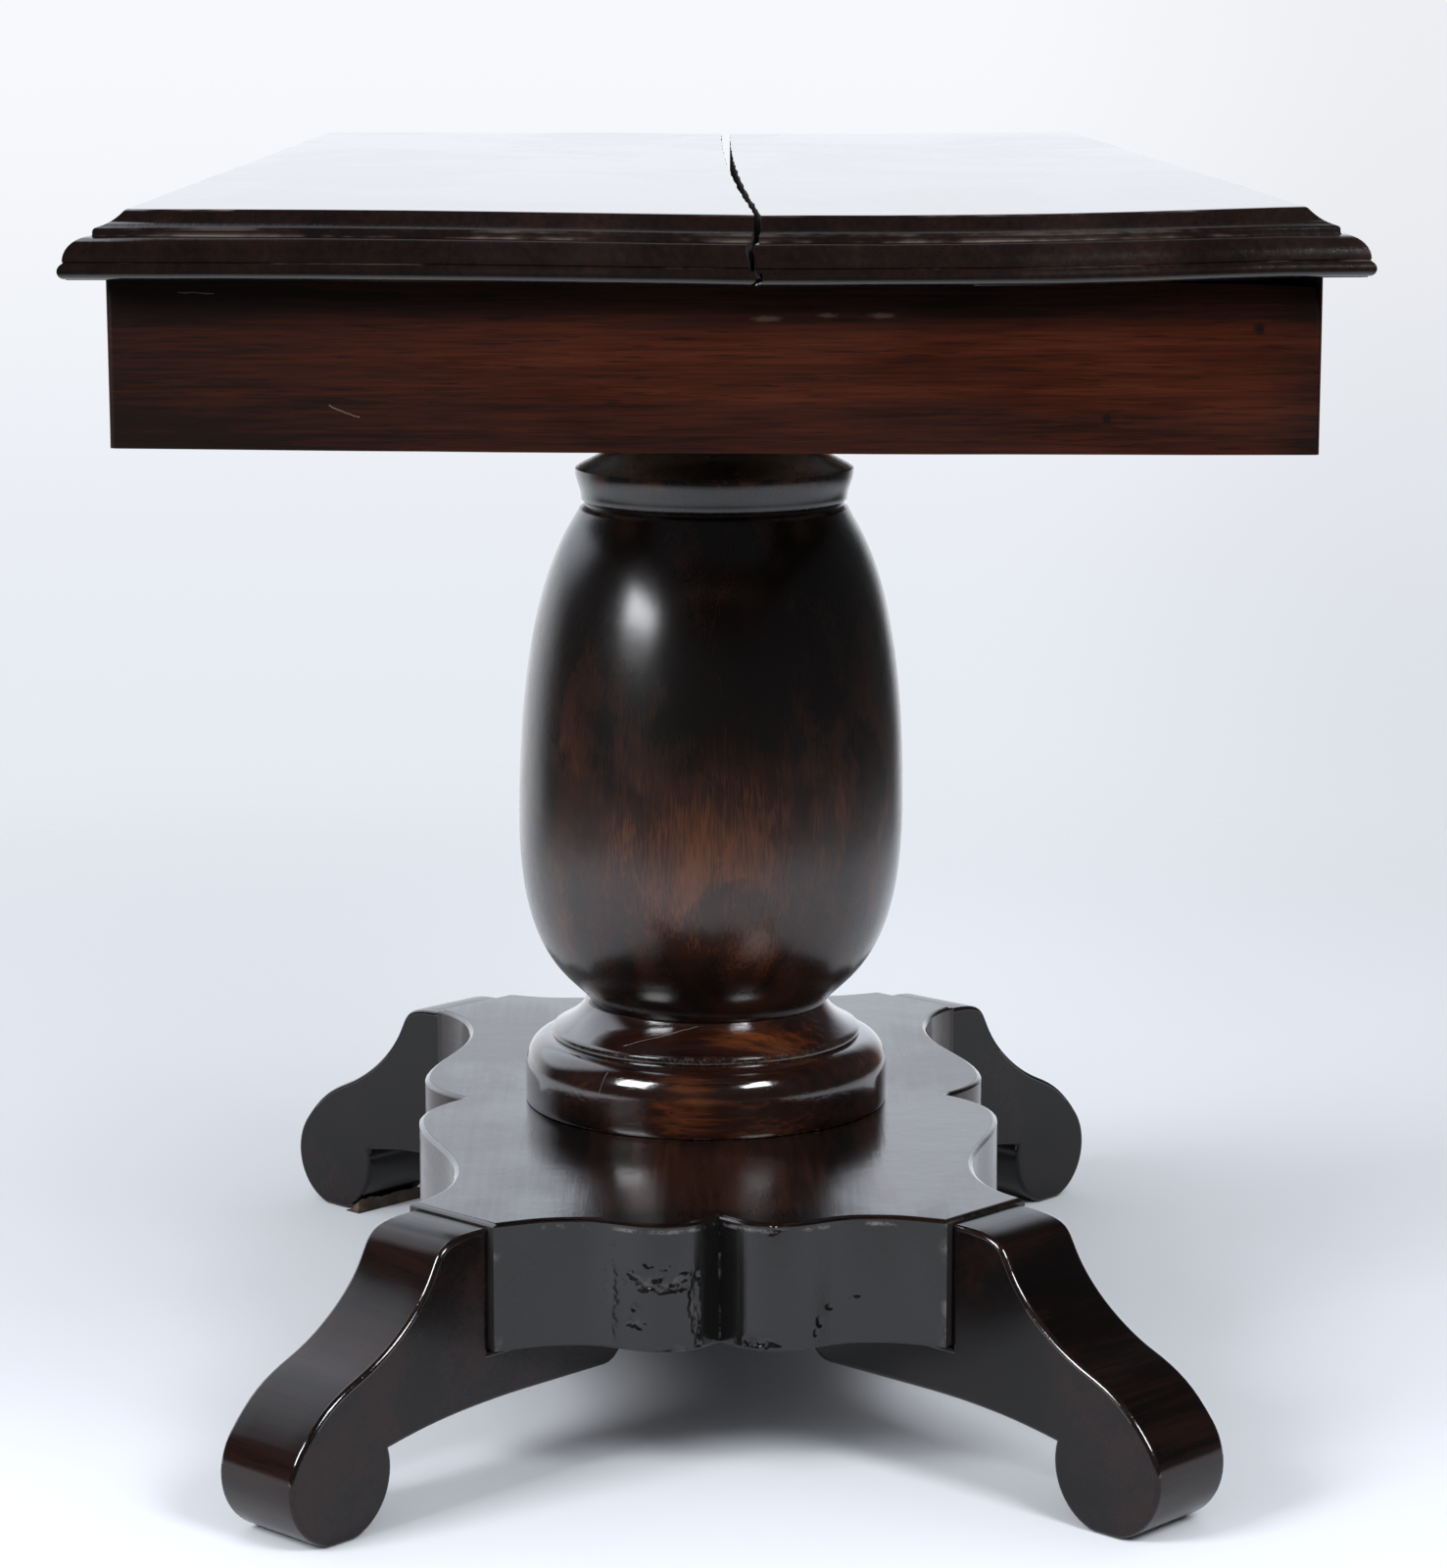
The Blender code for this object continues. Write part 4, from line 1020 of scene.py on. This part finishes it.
def vase_foot():
    """The turned foot with its cone, fillet, ovolo and band, hollow for the spigot."""
    low, high = FOOT_LOW.z, FOOT_HIGH.z
    radius = FOOT_HIGH.x
    bore = SPIGOT_RADIUS + SPIGOT_PLAY
    cone_low = (CONE_RADIUS, CONE_LEVEL)
    outline = (
        [(bore, low), (bore, high)]
        + [(FOOT_TOP_RADIUS - 0.0012, high)]
        + curve((FOOT_TOP_RADIUS, high - 0.0004), cone_low, FOOT_CONE_BEND, 14)
        + [cone_low, (CONE_RADIUS + 0.0003, CONE_LEVEL - 0.0006)]
        + [(CONE_RADIUS + 0.0003, FOOT_FILLET_LEVEL + 0.0010), (CONE_RADIUS - 0.0004, FOOT_FILLET_LEVEL + 0.0004)]
        + curve((FOOT_OVOLO_IN, FOOT_FILLET_LEVEL), (radius, FOOT_BAND_LEVEL), FOOT_OVOLO_BEND, 18)
        + [(radius, FOOT_BAND_LEVEL - (FOOT_BAND_LEVEL - low) * step / 8) for step in range(8)]
        + [(radius - 0.0002, low + 0.0012), (radius - 0.0005, low + 0.0003), (radius - 0.0012, low)]
        + [(bore, low)]
    )
    piece = turn_on_lathe("vase_foot", outline)
    unsettle(piece, FOOT_UNEVENNESS)
    # The rims carry pale marks: painted glints along the fillet lines, partly scuffing of the polish.
    rims = (CONE_LEVEL - 0.0003, FOOT_FILLET_LEVEL + 0.0007, low + 0.0004)
    mark_wear_and_glints(piece, lambda co: max(0.0, 1.0 - min(abs(co.z - rim) for rim in rims) / RIM_WEAR_AND_GLINT))
    return finish_piece(piece, "pedestal_foot", foot_polish, flat_faces=False)


# Platform

def platform_outline():
    """The whole brace outline, from a quarter between the right side's cusp and the back end's."""
    side_end, end_start = (PLATFORM_X, PLATFORM_Y - FACET_CUT), (PLATFORM_X - FACET_CUT, PLATFORM_Y)
    quarter = (
        curve(SIDE_CUSP, SIDE_LOBE, SIDE_CUSP_BEND)
        + curve(SIDE_LOBE, SIDE_HOLLOW, SIDE_FLOW_BEND)
        + curve(SIDE_HOLLOW, side_end, SIDE_FLARE_BEND)
        + [Vector(side_end)]
        + curve(end_start, END_HOLLOW, END_FLARE_BEND)
        + curve(END_HOLLOW, END_LOBE, END_FLOW_BEND, 16)
        + curve(END_LOBE, END_CUSP, END_CUSP_BEND, 16)
    )
    half = quarter + [Vector(END_CUSP)] + [Vector((-x, y)) for x, y in reversed(quarter)]
    return half + [Vector((x, -y)) for x, y in reversed(half[1:-1])]


def platform_slab():
    """The platform, rounded along its top edge, eased at its corners and dented near the front cusp."""
    low, high = PLATFORM_LOW.z, PLATFORM_HIGH.z
    slab = trace("platform_slab", [Vector((x, y, low)) for x, y in platform_outline()])
    arris, strip = high - PLATFORM_ROUND, PLATFORM_ROUND + ROLL_STRIP
    rise = Vector((0, 0, (high - low - strip) / PLATFORM_LEVELS))
    raise_up([rise] * PLATFORM_LEVELS + [Vector((0, 0, strip))])
    soften(slab, lambda edge: all(end.co.z > high - HAIR for end in edge.verts), PLATFORM_ROUND, 1)
    soften(slab, lambda edge: all(end.co.z > high - HAIR for end in edge.verts), ROLL_EASE)
    soften(slab, lambda edge: all(abs(end.co.z - arris) < HAIR for end in edge.verts), ROLL_ARRIS_EASE)
    soften(slab, lambda edge: all(end.co.z < low + HAIR for end in edge.verts), PLATFORM_LOW_EASE, 2)
    clear_bench()
    slab.rotation_euler.z = BASE_TURN
    settle(slab)
    unsettle(slab, PLATFORM_UNEVENNESS)
    open_mesh(slab)
    pick(slab, lambda face: face.normal.y < -0.4 and abs(face.calc_center_median().x) < FRONT_WALL_HALF, "FACE")
    bpy.ops.mesh.subdivide(number_cuts=FRONT_WALL_CUTS)
    clear_bench()
    mark_wear_and_glints(slab, platform_wear_and_glints)
    push(slab, weigh(slab, "chips", front_chips), -CHIP_PUSH)
    for finish in (platform_polish, arris_polish, facet_painted_grey):
        slab.data.materials.append(finish)
    open_mesh(slab)
    dress_faces(slab, 1, lambda face: 0.04 < face.normal.z < 0.93 and face.calc_center_median().z > arris - 0.0015)
    # The facet strips by the legs take the finish painted lighter grey.
    dress_faces(slab, 2, lambda face: abs(abs(face.normal.x) - abs(face.normal.y)) < 0.12
                and abs(face.calc_center_median().x) > 0.12 and abs(face.normal.z) < 0.1)
    clear_bench()
    return finish_piece(slab, "platform")


# Knocks in the front wall near the cusp: place across and up, half width and half height, and depth
CHIPS = (
    ((-0.0570, 0.122), (0.0036, 0.0300), 0.25),
    ((-0.0270, 0.131), (0.0200, 0.0080), 1.00),
    ((-0.0090, 0.112), (0.0036, 0.0190), 0.60),
    ((-0.0420, 0.108), (0.0050, 0.0090), 0.60),
    ((0.0846, 0.1155), (0.0018, 0.0015), 0.80),
    ((0.0690, 0.1100), (0.0018, 0.0016), 0.50),
    ((0.0632, 0.1020), (0.0014, 0.0030), 0.60),
    ((0.0610, 0.0950), (0.0013, 0.0026), 0.60),
    ((0.0290, 0.0915), (0.0125, 0.0046), 1.00),
    ((-0.0210, 0.0880), (0.0150, 0.0026), 0.90),
    ((0.0367, 0.1590), (0.0044, 0.0040), 1.00),
)


def front_chips(co):
    """How far a point of the front wall lies inside one of the ragged knocks."""
    if co.y > FRONT_WALL_Y:
        return 0.0
    ragged = CHIP_RAGGED * noise.fractal((co.x * CHIP_PITCH, co.z * CHIP_PITCH, 3.1), 0.7, 2.1, 6)
    deepest = 0.0
    for (x, z), (wide, tall), depth in CHIPS:
        away = math.hypot((co.x - x) / wide, (co.z - z) / tall) + ragged
        deepest = max(deepest, depth * min(max(CHIP_STEEPNESS * (1.0 - away), 0.0), 1.0))
    return deepest


def platform_wear_and_glints(co):
    """Pale lines under the roll, scuffing together with a painted highlight along the arris, pale lines in the front
    cusp and at the corners by the legs, and raw wood in the knocks.
    """
    # The line just under the roll is partly scuffing and partly a painted highlight along the arris.
    roll_glint_line = 1.0 - abs(co.z - (PLATFORM_HIGH.z - PLATFORM_ROUND)) / 0.0016
    spot = Matrix.Rotation(-BASE_TURN, 4, "Z") @ co
    corner = 1.0 - math.hypot(abs(spot.x) - PLATFORM_X + FACET_CUT, abs(spot.y) - PLATFORM_Y) / 0.0012
    cusp = 1.0 - math.hypot(spot.x, spot.y + END_CUSP[1]) / 0.0014
    return max(0.45 * roll_glint_line, 0.2 * corner, 0.4 * cusp, 0.10 * front_chips(co), 0.0)


# Legs

def leg_outline():
    """A leg in its plane: hip, sweep, scroll, notch, arched underside and tongue."""
    scroll = arc(EYE, SCROLL_RADIUS, SCROLL_FIRST, SCROLL_LAST, SCROLL_STEPS)
    scroll = [Vector((out, max(rise, 0.0))) for out, rise in scroll]
    return (
        curve(CREST, HIP, HIP_BEND)
        + curve(HIP, SHIN, SWEEP_BEND, 16)
        + curve(SHIN, scroll[0], SHIN_BEND, 8)
        + scroll[:-1]
        + curve(scroll[-1], ARCH_END, ARCH_BEND)
        + [Vector(ARCH_END)]
        + curve(NOSE, TIP, NOSE_BEND, 8)
        + [Vector(TIP), Vector((CREST[0], TIP[1]))]
    )


def leg_frame(corner):
    """A leg's place: at the foot of its cut corner, with +X out along the leg."""
    x, y = CORNERS[corner]
    spot = Matrix.Translation((x * (PLATFORM_X - FACET_CUT / 2), y * (PLATFORM_Y - FACET_CUT / 2), 0))
    return Matrix.Rotation(BASE_TURN, 4, "Z") @ spot @ Matrix.Rotation(math.atan2(y, x), 4, "Z")


def scroll_legs():
    """One leg sawn out, eased along its arrises, polished brighter on the upper ones, and copied to the corners."""
    pattern = trace("leg_pattern", [Vector((out, -LEG_HALF, rise)) for out, rise in leg_outline()])
    raise_up([Vector((0, 2 * LEG_HALF / LEG_LAYERS, 0))] * LEG_LAYERS)
    soften(pattern, lambda edge: len({round(end.co.y, 4) for end in edge.verts}) == 1
           and abs(edge.verts[0].co.y) > LEG_HALF - HAIR, LEG_ROUND)
    for finish in (leg_polish_left, arris_polish):
        pattern.data.materials.append(finish)
    open_mesh(pattern)
    dress_faces(pattern, 1, lambda face: 0.08 < abs(face.normal.y) < 0.97 and face.normal.z > 0.18)
    clear_bench()
    for corner, (x, y) in CORNERS.items():
        take(pattern)
        bpy.ops.object.duplicate(linked=False)
        leg = bpy.context.object
        leg.name = leg.data.name = "scroll_leg_" + corner
        leg.matrix_world = leg_frame(corner)
        settle(leg)
        unsettle(leg, LEG_UNEVENNESS, weigh(leg, "above_floor", lambda co: (co.z - LEG_STILL) / LEG_LOOSE))
        if x * y < 0:
            leg.data.materials[0] = leg_polish_right
        finish_piece(leg, "leg_" + corner)
    bpy.data.objects.remove(pattern, do_unlink=True)


def packing_strip():
    """A ragged strip of raw wood, crushed under the inner curve of the back left foot."""
    fit = SCROLL_RADIUS + PACKING_PLAY
    backs = [PACKING_NEAR + (PACKING_FAR - PACKING_NEAR) * step / 5 for step in range(6)]
    upper = [Vector((EYE[0] - back, EYE[1] - math.sqrt(fit * fit - back * back))) for back in backs]
    outline = upper + [Vector((upper[-1].x, 0)), Vector((upper[0].x, 0))]
    strip = trace("packing_strip", [Vector((out, -PACKING_HALF, rise)) for out, rise in outline])
    raise_up([Vector((0, 2 * PACKING_HALF / PACKING_LAYERS, 0))] * PACKING_LAYERS)
    clear_bench()
    strip.matrix_world = leg_frame("back_left")
    settle(strip)

    def crushed(co):
        crumbs = noise.noise((co.x * CRUSH_PITCH, co.y * CRUSH_PITCH, 1.7))
        return 40 * co.z * (0.7 + 0.9 * crumbs)

    unsettle(strip, PACKING_UNEVENNESS, weigh(strip, "ragged", lambda co: 1.0 if co.z > PACKING_STILL else 0.0))
    push(strip, weigh(strip, "crushed", crushed), -CRUSH_DEPTH, "Z")
    return finish_piece(strip, "packing_back_left", packing_wood)


# Inside of the frame

def dress_hidden_nodes():
    """Raw wood and iron for the solids that stay as they are."""
    finishes = {
        "centre_bearer": bare_across, "bearer_": bare_across, "corner_block": bare_upright,
        "glue_block": bare_along, "wedge": bare_upright, "dowel": bare_across,
        "leg_screw": iron, "top_screw": iron,
    }
    for name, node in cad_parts.items():
        for start, finish in finishes.items():
            if name.startswith(start):
                node.data.materials.clear()
                node.data.materials.append(finish)


# Studio

def studio_floor():
    """A pale floor that fades into the backdrop all round and can be looked through from below."""
    clear_bench()
    bpy.ops.mesh.primitive_circle_add(vertices=96, radius=2.6, fill_type="NGON", location=(0, 0, 0))
    floor = named("studio_floor")
    finish, tree, surface, spot = bench("pale_floor")
    grey = clouds(tree, spot, 1.6, 3.0)
    # Darker near the table and paler further out: painted shade round the table.
    near = shades(tree, grey, [(0.3, (0.75, 0.77, 0.81)), (0.7, (0.79, 0.81, 0.85))])
    from_middle = vector_node(tree, "LENGTH", spot)
    outwards = spread(tree, from_middle, 0.40, 0.95)
    tree.links.new(mixed(tree, outwards, near, (0.83, 0.85, 0.89)), surface.inputs["Base Color"])
    surface.inputs["Roughness"].default_value = 0.9
    away = spread(tree, from_middle, 0.9, 2.5, 1.0, 0.0)
    front = spread(tree, reach_along(tree, spot, (0, 1, 0)), -1.9, -0.45, 0.2, 1.0)
    above = minus(tree, 1.0, tree.nodes.new("ShaderNodeNewGeometry").outputs["Backfacing"])
    there = product(tree, product(tree, away, front), above)
    tree.links.new(there, surface.inputs["Alpha"])
    floor.data.materials.append(finish)


def backdrop():
    """White to the eye, bright at the back and left in reflections, dim in front, and even for soft light."""
    world = bpy.data.worlds.new("studio")
    bpy.context.scene.world = world
    world.use_nodes = True
    tree = world.node_tree
    out = tree.nodes["World Output"]
    seen = tree.nodes["Background"]
    way = tree.nodes.new("ShaderNodeTexCoord").outputs["Generated"]
    height = spread(tree, reach_along(tree, way, (0, 0, 1)), -0.16, 0.0)
    white = shades(tree, height, [(0.0, (0.80, 0.83, 0.89)), (1.0, (0.935, 0.945, 0.975))])
    tree.links.new(white, seen.inputs["Color"])
    to_right = reach_along(tree, way, (1, 0, 0))
    tree.links.new(spread(tree, to_right, 0.06, 0.17, 1.0, 0.91), seen.inputs["Strength"])
    glow = spread(tree, reach_along(tree, way, (-0.24, 0.9708, 0.0)), 0.60, 0.89, 0.055, 1.0)
    upwards = reach_along(tree, way, (0, 0, 1))
    glow = product(tree, glow, spread(tree, upwards, 0.06, 0.2, 1.08, 1.19))
    glow = product(tree, glow, spread(tree, upwards, 0.35, 0.8, 1.0, 0.3))
    left_wall = spread(tree, reach_along(tree, way, (-0.579, 0.579, 0.574)), 0.84, 0.96, 0.0, 1.6)
    glow = math_node(tree, "MAXIMUM", glow, left_wall)
    mirrored = tree.nodes.new("ShaderNodeBackground")
    blue = spread(tree, upwards, 0.05, 0.22)
    tree.links.new(mixed(tree, blue, (0.92, 0.95, 1.0), (0.87, 0.92, 1.02)), mirrored.inputs["Color"])
    tree.links.new(glow, mirrored.inputs["Strength"])
    soft = tree.nodes.new("ShaderNodeBackground")
    soft.inputs["Color"].default_value = (0.93, 0.96, 1.0, 1.0)
    from_above = spread(tree, upwards, 0.16, 0.72, 0.04, 0.86)
    from_front = spread(tree, reach_along(tree, way, (0, -0.64, 0.768)), 0.60, 0.95, 0.0, 0.25)
    tree.links.new(plus(tree, from_above, from_front), soft.inputs["Strength"])
    path = tree.nodes.new("ShaderNodeLightPath")
    bounced = either(tree, path.outputs["Is Glossy Ray"], mirrored, soft)
    whole = either(tree, path.outputs["Is Camera Ray"], seen, bounced)
    tree.links.new(whole.outputs[0], out.inputs["Surface"])


def either(tree, when, there, otherwise):
    """One light for one kind of ray, and another for the rest."""
    node = tree.nodes.new("ShaderNodeMixShader")
    for socket, source in zip(node.inputs, (when, otherwise.outputs[0], there.outputs[0])):
        tree.links.new(source, socket)
    return node


def soft_box(name, azimuth, height, distance, size, power):
    """A soft box that looks at the middle of the pedestal."""
    aim = Vector((0, 0, 0.4))
    azimuth, height = math.radians(azimuth), math.radians(height)
    way = Vector((math.sin(azimuth) * math.cos(height), -math.cos(azimuth) * math.cos(height), math.sin(height)))
    bpy.ops.object.light_add(type="AREA", location=aim + way * distance)
    lamp = bpy.context.object
    lamp.name = lamp.data.name = name
    lamp.rotation_euler = way.to_track_quat("Z", "Y").to_euler()
    lamp.data.shape = "RECTANGLE"
    lamp.data.size, lamp.data.size_y = size
    lamp.data.energy = power
    lamp.data.color = (0.94, 0.965, 1.0)
    lamp.visible_camera = False


def camera():
    bpy.ops.object.camera_add(location=CAMERA_PLACE, rotation=(CAMERA_TILT, 0, CAMERA_SWING))
    seen = bpy.context.object
    seen.name = "camera"
    seen.data.lens = LENS
    bpy.context.scene.camera = seen


# The table and its studio, piece by piece

top_board("board_left", "top_board_left", -1)
top_board("board_right", "top_board_right", 1)
apron("rail_front", "apron_front", APRON_X, APRON_Y, 0.0, end_apron_polish, front_hang)
apron("rail_back", "apron_back", APRON_X, APRON_Y, math.pi, end_apron_polish)
apron("rail_left", "apron_left", APRON_Y, APRON_X, -math.pi / 2, side_apron_polish, lambda x: side_hang(-1, x))
apron("rail_right", "apron_right", APRON_Y, APRON_X, math.pi / 2, side_apron_polish, lambda x: side_hang(1, x))
vase()
vase_foot()
platform_slab()
scroll_legs()
packing_strip()
dress_hidden_nodes()
studio_floor()
backdrop()
soft_box("left_soft_box", -50, 28, 3.0, (1.05, 1.15), 72)
soft_box("right_soft_box", 34, 34, 3.0, (0.9, 0.9), 50)
clear_bench()
camera()
bpy.context.scene.view_settings.view_transform = "Standard"
